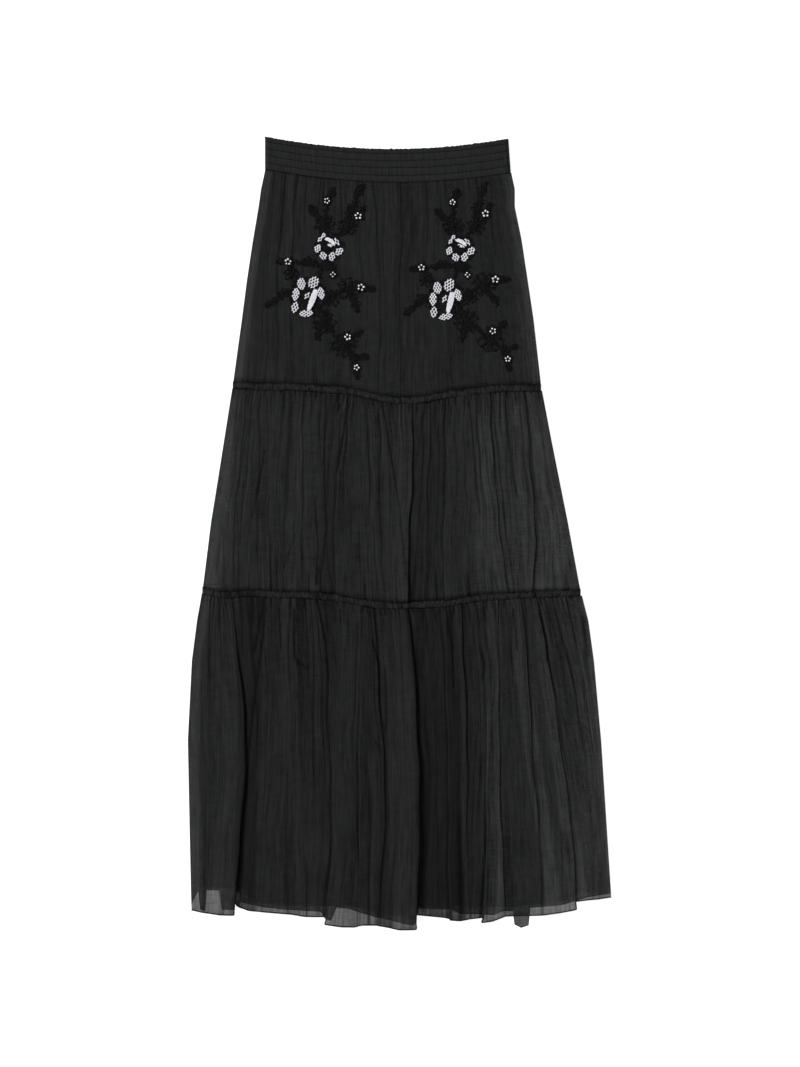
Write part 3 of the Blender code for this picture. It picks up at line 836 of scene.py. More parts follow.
YOKE_FOLDS = (
    Fold((-143.0, -149.0, -154.0), 1, 12.0, (0.5, 0.3, 0.0)),
    Fold((-129.0, -133.0, -137.0), 1, 12.0, (0.5, 0.35, 0.1)),
    Fold((-33.0, -28.0, -27.0), 1, 20.0, (0.6, 0.5, 0.2)),
    Fold((0.6, 0.6, 0.6), 1, 16.0, (0.5, 0.45, 0.3)),
    Fold((38.0, 39.0, 41.0), -1, 16.0, (0.3, 0.2, 0.0)),
)
MIDDLE_FOLDS = (
    Fold((-190.0, -199.0, -207.0), 1, 14.0, (0.3, 0.7, 0.8)),
    Fold((-163.7, -163.7, -163.7), -1, 26.0, (0.8, 1.4, 1.6)),
    Fold((-142.0, -147.0, -150.5), -1, 12.0, (1.5, 1.0, 0.2)),
    Fold((-120.6, -120.6, -123.0), 1, 12.0, (1.0, 0.9, 0.2)),
    Fold((-65.6, -75.6, -78.7), -1, 34.0, (1.5, 3.2, 3.8)),
    Fold((-37.0, -34.4, -24.4), -1, 14.0, (1.0, 1.7, 0.6)),
    Fold((16.0, 14.5, 11.0), 1, 30.0, (0.8, 2.6, 4.2)),
    Fold((37.0, 34.4, 30.6), -1, 12.0, (1.5, 1.8, 0.4)),
    Fold((59.4, 57.5, 57.0), -1, 26.0, (1.5, 2.6, 2.8)),
    Fold((113.0, 117.0, 135.6), 1, 20.0, (1.0, 1.6, 0.6)),
    Fold((154.4, 163.0, 166.2), 1, 30.0, (0.8, 1.5, 2.0)),
)
BOTTOM_FOLDS = (
    Fold((-210.6, -197.0, -206.2), 1, 34.0, (0.8, 4.0, 6.0)),
    Fold((-165.6, -164.4, -172.0), -1, 20.0, (1.5, 1.8, 0.6)),
    Fold((-130.0, -129.4, -124.4), -1, 14.0, (2.0, 1.6, 0.3)),
    Fold((-97.0, -87.0, -93.1), -1, 42.0, (1.5, 3.4, 4.6)),
    Fold((-44.4, -48.0, -52.0), -1, 18.0, (1.0, 1.7, 0.8)),
    Fold((-33.0, -23.0, -27.0), 1, 16.0, (1.0, 2.1, 0.7)),
    Fold((10.6, 20.6, 21.2), 1, 46.0, (2.5, 6.0, 8.0)),
    Fold((57.0, 58.8, 63.0), -1, 24.0, (1.5, 3.0, 3.2)),
    Fold((77.0, 82.0, 85.6), 1, 10.0, (1.5, 2.0, 0.4)),
    Fold((97.0, 107.0, 102.4), -1, 16.0, (2.0, 4.0, 5.0)),
    Fold((123.0, 124.0, 132.0), 1, 16.0, (0.8, 1.4, 1.8)),
    Fold((152.0, 162.0, 177.0), 1, 16.0, (1.5, 1.7, 0.8)),
    Fold((170.6, 192.0, 220.6), 1, 40.0, (1.4, 2.0, 2.4)),
    Fold((207.0, 230.0, 249.0), 1, 12.0, (1.5, 1.2, 0.4)),
)


class Family:
    """Small uneven forms that start at a seam, one after another across a cloth."""

    def relief(self, across: Array, down: Array, up: Array, choice: random.Random) -> Array:
        """How far the family lifts the cloth: below 0 where it is pressed in.

        Args:
            across: where each column lies across the cut piece.
            down: each point's distance from the top seam.
            up: each point's distance from the foot.
            choice: the seeded source of uneven values.

        Returns:
            The lift at each point.
        """
        distance = up if self.from_foot else down
        lift = np.zeros_like(down)
        for place in uneven_places(across, self.spacing, choice):
            lift += self.one(place, across, distance, choice)
        return lift


@dataclass(frozen=True)
class Gathers(Family):
    """Pleats that fade out on their way."""

    spacing: Span
    rise: Span
    run: Span
    steep: float
    length: Span
    from_foot: bool = False

    def one(self, place: float, across: Array, distance: Array, choice: random.Random) -> Array:
        """The lift of one pleat: most face right, and the others are less steep."""
        ridge = across[np.argmin(np.abs(across - place))]
        facing, steep = (1.0, self.steep) if choice.random() < 0.75 else (-1.0, 2.5 * self.steep)
        beyond = (across - ridge) * facing
        run = choice.uniform(*self.run)
        profile = np.where(beyond <= 0.0, smooth(1.0 + beyond / run), 1.0 - smooth(beyond / steep))
        fade = smooth(1.0 - distance / choice.uniform(*self.length))
        return choice.uniform(*self.rise) * profile * fade


@dataclass(frozen=True)
class Creases(Family):
    """Narrow creases: most are pressed in, and some stand out."""

    spacing: Span
    depth: Span
    width: Span
    start: Span
    length: Span
    drift: float = 0.04
    raised: float = 0.08
    from_foot: bool = False

    def one(self, place: float, across: Array, distance: Array, choice: random.Random) -> Array:
        """The lift of one crease: it leans and swings a little on its way."""
        width, depth = choice.uniform(*self.width), choice.uniform(*self.depth)
        if choice.random() < self.raised:
            depth *= -0.7
        beyond = distance - choice.uniform(*self.start)
        length = choice.uniform(*self.length)
        lean = choice.uniform(-self.drift, self.drift)
        swing = choice.uniform(-0.8, 0.8) * width * np.sin(beyond / choice.uniform(18.0, 50.0))
        near = np.maximum(0.0, 1.0 - np.abs(across - (place + lean * beyond + swing)) / width)
        fade = smooth(1.0 + beyond / 10.0) * smooth(2.0 * (1.0 - beyond / length))
        return -depth * near * fade


@dataclass(frozen=True)
class Tuck:
    """One crease where the cloth doubles on itself: its line as (x, drop), its width and its depth."""

    line: tuple[Span, ...]
    width: float
    depth: float

    def relief(self, x: Array, drop: Array) -> Array:
        """How far the tuck lifts the cloth: below 0 along its line.

        Args:
            x: the points' x.
            drop: their drop.

        Returns:
            The lift at each point.
        """
        nearest = np.full(x.shape, 1.0e6)
        for start, end in zip(self.line, self.line[1:]):
            run, fall = end[0] - start[0], end[1] - start[1]
            share = ((x - start[0]) * run + (drop - start[1]) * fall) / (run * run + fall * fall)
            share = np.clip(share, 0.0, 1.0)
            away = np.hypot(x - start[0] - share * run, drop - start[1] - share * fall)
            nearest = np.minimum(nearest, away)
        uneven = 1.0 + 0.35 * np.sin(drop / 2.3) * np.sin(x / 1.7)
        return -self.depth * np.maximum(0.0, 1.0 - nearest / (self.width * uneven))


@dataclass(frozen=True)
class DoublingShadeSheen:
    """A stretch painted darker for doubled cloth and for the shade beside a fold, or painted lighter as a
    sheen.

    It holds the stretch's two sides and how dark it is at the tier's top and foot, below 0 for lighter.
    """

    left: Span
    right: Span
    dark: Span
    edge: float = 5.0

    def shade(self, x: Array, shares: Array) -> Array:
        """How much darker each point is painted, or lighter below 0.

        Args:
            x: the points' x, a row of them for each row of the tier.
            shares: how far down the tier each row is.

        Returns:
            The added darkness, from -1 to 1.
        """
        left, right, dark = (
            (ends[0] + (ends[1] - ends[0]) * shares)[:, None] for ends in (self.left, self.right, self.dark)
        )
        return dark * smooth((x - left) / self.edge) * smooth((right - x) / self.edge)


MIDDLE_DOUBLING_SHADE_SHEEN = (
    DoublingShadeSheen((-101.0, -105.0), (-66.0, -80.0), (0.15, 0.50)),
    DoublingShadeSheen((-36.0, -30.0), (-12.0, 8.0), (0.10, 0.0)),
    DoublingShadeSheen((16.0, 11.0), (62.0, 56.0), (0.15, 0.40)),
    DoublingShadeSheen((96.0, 90.0), (170.0, 220.0), (-0.18, -0.28)),
)
BOTTOM_DOUBLING_SHADE_SHEEN = (
    DoublingShadeSheen((-204.0, -208.0), (-166.0, -178.0), (0.50, 0.65)),
    DoublingShadeSheen((-130.0, -122.0), (-98.0, -96.0), (0.18, 0.05)),
    DoublingShadeSheen((-102.0, -94.0), (-78.0, -84.0), (0.55, 0.0)),
    DoublingShadeSheen((-48.0, -50.0), (8.0, 20.0), (0.18, 0.20)),
    DoublingShadeSheen((-38.0, -32.0), (-14.0, -8.0), (0.10, 0.35)),
    DoublingShadeSheen((16.0, 22.0), (68.0, 86.0), (0.50, 0.68)),
    DoublingShadeSheen((72.0, 86.0), (98.0, 104.0), (0.20, 0.35)),
    DoublingShadeSheen((105.0, 109.0), (128.0, 134.0), (-0.30, -0.45)),
    DoublingShadeSheen((130.0, 182.0), (152.0, 206.0), (-0.20, -0.45)),
    DoublingShadeSheen((162.0, 212.0), (184.0, 238.0), (-0.25, -0.50)),
)


MIDDLE_TUCKS = (
    Tuck(((-76.0, 322.0), (-75.0, 341.0)), 2.6, 1.5),
    Tuck(((-70.0, 374.0), (-74.0, 400.0), (-76.0, 418.0)), 2.2, 1.1),
    Tuck(((-62.0, 322.0), (-64.0, 332.0)), 2.0, 1.2),
    Tuck(((-102.0, 540.0), (-103.0, 562.0)), 2.2, 1.2),
    Tuck(((-168.0, 392.0), (-179.0, 456.0), (-184.0, 478.0)), 1.9, 0.8),
    Tuck(((-91.4, 322.0), (-92.6, 410.0), (-91.4, 491.0), (-99.0, 561.0)), 1.9, 0.9),
    Tuck(((-63.4, 326.0), (-70.0, 385.0), (-75.0, 411.0)), 1.9, 0.9),
    Tuck(((-104.6, 454.0), (-102.0, 510.0), (-104.6, 561.0)), 1.9, 0.9),
    Tuck(((-127.0, 491.0), (-144.6, 540.0)), 1.9, 0.6),
    Tuck(((-21.0, 330.0), (-11.0, 400.0), (1.0, 475.0), (10.0, 556.0)), 2.0, 0.8),
    Tuck(((86.0, 322.0), (92.0, 380.0), (101.0, 470.0)), 1.9, 0.7),
    Tuck(((132.0, 330.0), (140.0, 400.0), (147.0, 450.0)), 1.9, 0.7),
)
BOTTOM_TUCKS = (
    Tuck(((-131.2, 592.0), (-131.2, 648.0), (-127.0, 659.0), (-113.0, 664.0)), 2.4, 1.6),
    Tuck(((-102.0, 578.0), (-90.0, 640.0), (-87.0, 680.0)), 2.8, 1.8),
    Tuck(((-168.6, 582.0), (-176.0, 620.0), (-182.0, 646.0)), 2.6, 1.5),
    Tuck(((-32.0, 630.0), (-24.0, 661.0), (-23.0, 701.0)), 2.6, 1.7),
    Tuck(((-30.6, 755.0), (-23.0, 769.0)), 2.4, 1.4),
    Tuck(((101.0, 640.0), (106.0, 660.0), (103.0, 678.0)), 2.4, 1.5),
    Tuck(((176.0, 596.0), (184.0, 630.0), (186.0, 655.0)), 2.6, 1.5),
    Tuck(((229.0, 600.0), (236.0, 648.0)), 2.4, 1.1),
    Tuck(((-166.9, 586.0), (-171.0, 630.0), (-183.8, 724.0), (-191.9, 811.0)), 2.6, 1.1),
    Tuck(((-16.6, 665.0), (-16.0, 742.0)), 2.2, 0.9),
    Tuck(((-150.0, 590.0), (-148.0, 640.0)), 2.2, 0.9),
    Tuck(((60.0, 596.0), (66.0, 640.0), (67.0, 690.0)), 2.2, 1.0),
    Tuck(((142.0, 590.0), (147.0, 640.0)), 2.2, 1.0),
)


@dataclass
class FoldedTier:
    """The front of the yoke or of a tier: one cloth with large overlapping folds and small gathers."""

    name: str
    top: Edge
    foot: Edge
    folds: tuple[Fold, ...]
    gathers: tuple[Gathers | Creases, ...]
    cut: tuple[float, float]
    cut_area: float
    rests_on: tuple[str, ...]
    row_count: int = 64
    pitch: float = 1.3
    seed: int = 1
    # A fold's steep side on the cut piece, the cloth tucked back under it, and its rounded lip.
    steep: float = 3.0
    tuck_most: float = 4.0
    tuck_share: float = 0.9
    tuck_spread: float = 1.4
    lip_share: float = 0.25
    lip_most: float = 1.0
    lip_least: float = 0.08
    edge_wander: float = 1.1
    # How far the whole cloth sways from side to side, and over what width and length.
    sway: float = 1.2
    sway_waves: Span = (37.0, 55.0)
    pinch: float = 0.55
    pinch_reach: float = 3.0
    tucks: tuple[Tuck, ...] = ()
    doubling_shade_sheen: tuple[DoublingShadeSheen, ...] = ()
    crease_share: float = 0.6
    side_crease_share: float = 0.06
    # The painted shade: in hollows this near, at pinched seams and in creases; and painted light at the
    # right side, where the cloth rolls away from the key light.
    hollow_reach: float = 3.0
    pinch_tone: float = 0.4
    crease_tone: float = 0.9
    painted_light_right: float = 0.7
    painted_light_reach: float = 15.0
    grid: Array = field(init=False)
    place: Array = field(init=False)

    LIP_TURNS = (45.0, 0.0, -50.0)
    WALL_SHARES = (0.35, 0.7)
    FOOT_TURNS = (130.0, 180.0, 225.0)

    def shares(self) -> Array:
        """How far down the tier each row is: the rows lie closer together under the seam."""
        even = np.linspace(0.0, 1.0, self.row_count)
        return 0.4 * even + 0.6 * even * even

    def fold_lines(self, shares: Array) -> list[dict[str, Array]]:
        """Each fold's edge, foot, rise and lip at every row."""
        lines = []
        ends = smooth(5.0 * shares) * smooth(5.0 * (1.0 - shares))
        for fold in self.folds:
            turn = fold.edge[0] * 0.7
            wander = np.sin(9.0 * shares + turn) + 0.6 * np.sin(23.0 * shares + 2.0 * turn)
            edge = through(shares, *fold.edge) + self.edge_wander * wander * ends
            rise = np.maximum(between(shares, *fold.rise), 0.0)
            tuck = np.minimum(self.tuck_most, self.tuck_share * rise) - self.tuck_spread
            lip = np.clip(self.lip_share * rise, self.lip_least, self.lip_most)
            lines.append({"edge": edge, "foot": edge - fold.facing * tuck, "rise": rise, "lip": lip})
        return lines

    def lift(self, x: Array, span: int, lines: list[dict[str, Array]]) -> Array:
        """How far the large folds lift one span of cloth.

        Args:
            x: the places, a row of them for each row of the tier.
            span: which stretch between folds they lie in, counted from the left.
            lines: the fold lines.

        Returns:
            The lift at each place.
        """
        total = np.zeros_like(x)
        for number, (fold, line) in enumerate(zip(self.folds, lines)):
            on_high_side = span <= number if fold.facing > 0 else span > number
            if on_high_side:
                beyond = (x - line["edge"][:, None]) * fold.facing
                total += line["rise"][:, None] * smooth(1.0 + np.minimum(beyond, 0.0) / fold.run)
        return total

    def wall(self, number: int, lines: list[dict[str, Array]]) -> tuple[Array, Array, Array]:
        """The rounded lip of a fold, the cloth that turns back under it, and its turn at the foot.

        Args:
            number: which fold.
            lines: the fold lines.

        Returns:
            The x, the cut piece's own x and the lift of the wall's columns, from left to right
            along the cloth.
        """
        fold, line = self.folds[number], lines[number]
        edge, foot, lip = line["edge"], line["foot"], line["lip"]
        facing = fold.facing
        high_span, low_span = (number, number + 1) if facing > 0 else (number + 1, number)
        high = self.lift((edge - facing * lip)[:, None], high_span, lines)[:, 0]
        low = self.lift((foot + facing * lip)[:, None], low_span, lines)[:, 0]
        crest, turned = [], []
        for angle in map(math.radians, self.LIP_TURNS):
            back = facing * lip * (1.0 - math.cos(angle))
            crest.append((edge - back, high - lip * (1.0 - math.sin(angle))))
        for angle in map(math.radians, self.FOOT_TURNS):
            ahead = facing * lip * (1.0 + math.cos(angle))
            turned.append((foot + ahead, low + lip * (1.0 + math.sin(angle))))
        between_them = [
            tuple(start + share * (end - start) for start, end in zip(crest[-1], turned[0]))
            for share in self.WALL_SHARES
        ]
        columns, heights = map(list, zip(*crest, *between_them, *turned))
        count = len(columns)
        cut = [edge + facing * self.steep * smooth((step + 1) / (count + 1)) for step in range(count)]
        return tuple(np.stack(parts[::facing], axis=1) for parts in (columns, cut, heights))

    def columns(self, shares: Array) -> tuple[Array, Array, Array]:
        """Lay out the tier's columns: stretches of cloth, with the wall of a fold between each two.

        Args:
            shares: how far down the tier each row is.

        Returns:
            The x, the cut piece's own x and the large folds' lift at each point.
        """
        lines = self.fold_lines(shares)
        left, right = PATTERN.sides_between(self.top, self.foot, shares)
        starts, ends = [(left, left)], []
        for fold, line in zip(self.folds, lines):
            crest = (line["edge"] - fold.facing * line["lip"], line["edge"])
            foot = (line["foot"] + fold.facing * line["lip"], line["edge"] + fold.facing * self.steep)
            ends.append(crest if fold.facing > 0 else foot)
            starts.append(foot if fold.facing > 0 else crest)
        ends.append((right, right))
        knee = knee_row(shares)
        parts = []
        for span, (start, end) in enumerate(zip(starts, ends)):
            count = max(2, round(float(end[1][knee] - start[1][knee]) / self.pitch))
            steps = np.linspace(0.0, 1.0, count + 1)[None, :]
            x, cut = (low[:, None] + (high - low)[:, None] * steps for low, high in zip(start, end))
            parts.append((x, cut, self.lift(x, span, lines)))
            if span < len(self.folds):
                parts.append(self.wall(span, lines))
        return tuple(np.concatenate(kind, axis=1) for kind in zip(*parts))

    def make_grid(self) -> None:
        """Work out the tier's points, their places on the cut piece and their painted shade and light."""
        shares = self.shares()
        x, cut, lift = self.columns(shares)
        top, foot = PATTERN.drop_of(self.top, cut), PATTERN.drop_of(self.foot, cut)
        drop = top + shares[:, None] * (foot - top)
        inner = PATTERN.inner_share(x, drop)
        across = cut[knee_row(shares)]
        choice = random.Random(self.seed)
        lifts = [family.relief(across, drop - top, foot - drop, choice) for family in self.gathers]
        lifts += [tuck.relief(x, drop) for tuck in self.tucks]
        small = sum(np.where(by < 0.0, self.crease_share * by, by) for by in lifts)
        pressed = sum(np.clip(-by, 0.0, None) for by in lifts)
        seams = [drop - top] if self.foot is Edge.FRONT_HEM else [drop - top, foot - drop]
        pinched = sum(1.0 - smooth(distance / self.pinch_reach) for distance in seams)
        small = small * (self.side_crease_share + (1.0 - self.side_crease_share) * inner)
        height = PATTERN.front_height(inner) + lift + small - self.pinch * pinched
        phase = across / self.sway_waves[0] + drop / self.sway_waves[1]
        swing = self.sway * np.sin(phase) * np.sin(math.pi * shares)[:, None] * inner
        self.grid = points_of(x + swing, drop, height)
        # The tone is painted shade in hollows, at pinched seams and in creases, plus the darker and lighter
        # stretches, less painted light along the right side.
        tone = hollows(self.grid, self.hollow_reach) + self.pinch_tone * pinched + self.crease_tone * pressed
        tone += sum(stretch.shade(x, shares) for stretch in self.doubling_shade_sheen)
        tone -= self.painted_light_right * (1.0 - smooth((PATTERN.sides(drop)[1] - x) / self.painted_light_reach))
        self.place = cloth_places(across, drop, np.clip(tone, -1.0, 1.0))

    def build(self, wardrobe: Wardrobe) -> bpy.types.Object:
        """Make and dress the tier.

        Args:
            wardrobe: the finishes.

        Returns:
            The tier's shell.
        """
        self.make_grid()
        made = Shell(self.name, self.grid, self.place).build()
        return fit(made, wardrobe.voile, "voile", [self.name])

    def height_at(self, x: Array, drop: Array) -> Array:
        """The cloth's height under points that lie on it.

        Args:
            x: the points' x.
            drop: their drop.

        Returns:
            The height at each point.
        """
        shares = self.shares()
        top, foot = PATTERN.drop_of(self.top, x), PATTERN.drop_of(self.foot, x)
        row = np.interp((drop - top) / (foot - top), shares, np.arange(len(shares)))
        below = np.minimum(row.astype(int), len(shares) - 2)
        part = row - below
        found = np.zeros_like(x)
        for number in np.unique(below):
            here = below == number
            upper, lower = self.grid[number], self.grid[number + 1]
            first = np.interp(x[here], upper[:, 0], upper[:, 2])
            second = np.interp(x[here], lower[:, 0], lower[:, 2])
            found[here] = first + (second - first) * part[here]
        return found


@dataclass
class RolledHem:
    """The narrow rolled hem along a tier's foot."""

    name: str
    radius: float = 0.85

    def build(self, grid: Array, wardrobe: Wardrobe) -> bpy.types.Object:
        """Make and dress the hem.

        Args:
            grid: the points of the cloth that it edges.
            wardrobe: the finishes.

        Returns:
            The hem.
        """
        path = grid[-1].copy()
        path[:, 2] = np.maximum(path[:, 2] - 0.2, self.radius + 0.05)
        path[:, 1] -= self.radius
        uneven = 1.0 + 0.12 * np.sin(path[:, 0] * 1.1) * np.sin(path[:, 0] * 0.37)
        cords = Cords(self.name, self.radius, 1)
        cords.add(path, uneven)
        return fit(cords.build(), wardrobe.hem, "voile")


@dataclass
class LaidPanel:
    """A back panel or a lining: it lies flat, with soft shallow creases."""

    name: str
    top: Edge
    foot: Edge
    underside: float
    outer: Face
    thickness: float = 0.4
    crease: float = 0.35
    row_count: int = 36
    pitch: float = 3.0
    seed: int = 11
    inset: Rows = ((0.0, 0.0, 0.0), (LENGTH, 0.0, 0.0))
    gather_length: float = 90.0
    hem_steps: tuple[float, ...] = ()
    side_underside: float = 0.25
    grid: Array = field(init=False)
    place: Array = field(init=False)

    def make_grid(self) -> None:
        """Work out the panel's points."""
        rows = np.linspace(0.0, 1.0, self.row_count)
        rows = 0.5 * rows + 0.5 * rows * rows
        left, right = PATTERN.sides_between(self.top, self.foot, rows)
        count = round(float(np.mean(right - left)) / self.pitch)
        steps = (np.array(self.hem_steps) - left[-1]) / (right[-1] - left[-1])
        shares = np.sort(np.concatenate([np.linspace(0.0, 1.0, count + 1), steps]))
        top_drop, foot_drop = (PATTERN.drop_of(edge, 0.0) for edge in (self.top, self.foot))
        middle_drop = top_drop + rows * (foot_drop - top_drop)
        drops, inset_left, inset_right = np.array(self.inset).T
        left = left + np.interp(middle_drop, drops, inset_left)
        right = right - np.interp(middle_drop, drops, inset_right)
        x = left[:, None] + (right - left)[:, None] * shares[None, :]
        top, foot = PATTERN.drop_of(self.top, x), PATTERN.drop_of(self.foot, x)
        drop = top + rows[:, None] * (foot - top)
        across = shares * float(np.mean(right - left))
        relief = self.relief(across, drop - top, foot - drop)
        inner = PATTERN.inner_share(x, drop)
        height = self.side_underside + (self.underside - self.side_underside) * inner + relief * inner
        if self.outer is Face.UP:
            height = height + self.thickness
        self.grid = points_of(x, drop, height)
        self.place = cloth_places(across, drop, self.shading(x, drop, relief))

    def relief(self, across: Array, down: Array, up: Array) -> Array:
        """How far the panel's soft creases lift it.

        Args:
            across: where each column lies across the panel.
            down: each point's distance from the top.
            up: each point's distance from the foot.

        Returns:
            The lift at each point, never below 0.
        """
        choice = random.Random(self.seed)
        lengths = (0.3 * self.gather_length, self.gather_length)
        fine = Gathers((5.0, 10.0), (0.3, 1.0), (4.0, 8.0), self.pitch, lengths)
        broad = Gathers((18.0, 44.0), (0.4, 1.0), (12.0, 26.0), 2.0 * self.pitch, (400.0, 1400.0))
        lift = sum(family.relief(across, down, up, choice) for family in (fine, broad))
        return self.crease * np.tanh(lift)

    def shading(self, x: Array, drop: Array, relief: Array) -> Array:
        """How deep each point is in a crease, as painted shade from 0 to 1."""
        raised = np.clip(relief / self.crease, 0.0, 1.0)
        return 0.6 * (1.0 - raised if self.outer is Face.UP else raised)

    def build(self, material: bpy.types.Material, slot: str) -> bpy.types.Object:
        """Make and dress the panel.

        Args:
            material: its finish.
            slot: the record's slot.

        Returns:
            The panel's shell.
        """
        self.make_grid()
        made = Shell(self.name, self.grid, self.place, self.thickness, self.outer).build()
        return fit(made, material, slot, [self.name])


@dataclass
class LiningPanel(LaidPanel):
    """One side of the lining: it grows thinner to the eye towards its sides."""

    fade: Rows = (
        (0.0, 9.0, 18.0), (310.0, 20.0, 26.0), (330.0, 14.0, 40.0), (560.0, 24.0, 70.0),
        (640.0, 16.0, 95.0), (LENGTH, 16.0, 120.0),
    )

    def shading(self, x: Array, drop: Array, relief: Array) -> Array:
        """How thin the lining looks at each point, from 0 to 1."""
        drops, *fades = np.array(self.fade).T
        left, right = (np.interp(drop, drops, fade) for fade in fades)
        return 1.0 - smooth((x - x[:, :1]) / left) * smooth((x[:, -1:] - x) / right)


@dataclass
class Waistband:
    """The shirred waistband: cloth puffs up between its rows of stitching and puckers along them."""

    depth: float = 41.0
    stitch_rows: tuple[float, ...] = (6.0, 15.0, 23.5, 33.0)
    puff: float = 0.5
    front_level: float = 4.7
    thickness: float = 1.5
    pitch: float = 1.05
    pucker: Span = (2.4, 4.6)
    stitch_length: float = 2.0
    stitch_gap: float = 0.8

    def lines(self) -> tuple[float, ...]:
        """How far down the band its edges and its rows of stitching lie."""
        return (0.0, *self.stitch_rows, self.depth)

    def offsets(self) -> tuple[Array, Array]:
        """How far down the band each row lies, and how far it puffs up, from 0 to 1."""
        offsets, puffs = [0.0, 0.2, 0.6], [-1.3, -0.7, -0.15]
        for low, high in zip(self.lines(), self.lines()[1:]):
            for share in (0.06, 0.16, 0.3, 0.45, 0.6, 0.75, 0.88, 0.96):
                offsets.append(max(1.0, low + share * (high - low)))
                puffs.append(math.sin(math.pi * share) ** 0.7)
            offsets.append(high)
            puffs.append(-0.15)
        return np.array(offsets), np.array(puffs)

    def puckers(self, across: Array, down: Array, up: Array, choice: random.Random) -> Array:
        """The lift of the puckers: some cross the whole band, and each channel has its own.

        Args:
            across: where each column lies across the band.
            down: each point's distance from the top edge.
            up: each point's distance from the seam.
            choice: the seeded source of uneven values.

        Returns:
            The lift at each point.
        """
        offsets, _ = self.offsets()
        shared = Gathers(self.pucker, (0.15, 0.5), (1.6, 3.2), self.pitch, (400.0, 900.0))
        own = Gathers(self.pucker, (0.1, 0.55), (1.5, 3.0), self.pitch, (400.0, 900.0))
        lift = 0.6 * shared.relief(across, down, up, choice)
        for low, high in zip(self.lines(), self.lines()[1:]):
            inside = (offsets >= low) & (offsets <= high)
            share = (offsets - low) / (high - low)
            strength = np.where(inside, 0.45 + 0.55 * np.abs(2.0 * share - 1.0), 0.0)
            lift += own.relief(across, down, up, choice) * strength[:, None]
        return lift

    def surface(self, outer: Face, seed: int) -> tuple[Array, Array]:
        """The points of one side of the band.

        Args:
            outer: which way that side looks.
            seed: which uneven puckers it has.

        Returns:
            The grid and its places on the cut piece.
        """
        offsets, puffs = self.offsets()
        left, right = PATTERN.sides(offsets)
        count = round(float(np.mean(right - left)) / self.pitch)
        shares = np.linspace(0.0, 1.0, count + 1)
        x = left[:, None] + (right - left)[:, None] * shares[None, :]
        choice = random.Random(seed)
        across = shares * float(np.mean(right - left))
        flat = np.zeros((1, count + 1))
        uneven_edge = Creases((3.0, 7.0), (0.2, 0.9), (1.5, 3.5), (0.0, 0.0), (50.0, 60.0))
        ragged = uneven_edge.relief(across, flat, flat, choice)
        top = PATTERN.drop_of(Edge.WAIST, x) - np.clip(ragged, -0.6, 0.6)
        foot = PATTERN.drop_of(Edge.WAIST_SEAM, x) - 0.02
        drop = top + (offsets / self.depth)[:, None] * (foot - top)
        wave = np.sin(across / 9.0 + offsets[:, None]) + np.sin(across / 4.1 + 2.0 * offsets[:, None])
        drop = drop + 0.22 * wave * np.sin(math.pi * offsets / self.depth)[:, None]
        pucker = self.puckers(across, drop - top, foot - drop, choice)
        puff = self.puff * puffs[:, None]
        # Painted shade in the stitch lines, where the cloth puffs least, and in the pucker hollows.
        deep = np.clip(0.62 - 1.1 * puffs, 0.0, 0.75)[:, None] + 0.9 * np.clip(0.26 - pucker, 0.0, 1.0)
        place = cloth_places(across, drop, np.clip(deep, 0.0, 1.0))
        near_side = 1.0 - smooth(np.minimum(across, across[-1] - across) / 4.0)[None, :]
        if outer is Face.UP:
            height = self.front_level + puff + 0.5 * pucker - 1.2 * near_side
        else:
            height = 0.75 - 0.6 * np.clip(puff, -1.0, 1.0) + 0.1 * pucker + 0.6 * near_side
            height = np.maximum(height, 0.05)
        return points_of(x, drop, height), place

    def stitches(self, name: str, grid: Array, lift: float) -> Cords:
        """The rows of stitches on one side.

        Args:
            name: the stitches' name.
            grid: that side's points.
            lift: how far the thread lies out from the cloth.

        Returns:
            The threads.
        """
        offsets, _ = self.offsets()
        threads = Cords(name, 0.28, 0)
        for line in self.stitch_rows:
            row = grid[int(np.argmin(np.abs(offsets - line)))]
            start = float(row[0, 0]) + 1.0
            while start + self.stitch_length < float(row[-1, 0]) - 1.0:
                x = np.linspace(start, start + self.stitch_length, 4)
                drop = np.interp(x, row[:, 0], row[:, 1])
                height = np.interp(x, row[:, 0], row[:, 2]) + lift * np.array([0.2, 1.0, 1.0, 0.2])
                threads.add(points_of(x, drop, height))
                start += self.stitch_length + self.stitch_gap
        return threads

    def build(self, wardrobe: Wardrobe) -> list[bpy.types.Object]:
        """Make and dress the waistband.

        Args:
            wardrobe: the finishes.

        Returns:
            The front, the back and their stitches.
        """
        made = []
        for side, outer, seed, lift in (("front", Face.UP, 21, 0.25), ("back", Face.DOWN, 22, -0.2)):
            grid, place = self.surface(outer, seed)
            name = f"waistband_{side}"
            shell = Shell(name, grid, place, self.thickness if outer is Face.UP else 1.2, outer).build()
            made.append(fit(shell, wardrobe.waistband, "trim", [name]))
            threads = self.stitches(f"{name}_stitches", grid, lift).build()
            made.append(fit(threads, wardrobe.stitch, "trim"))
        return made


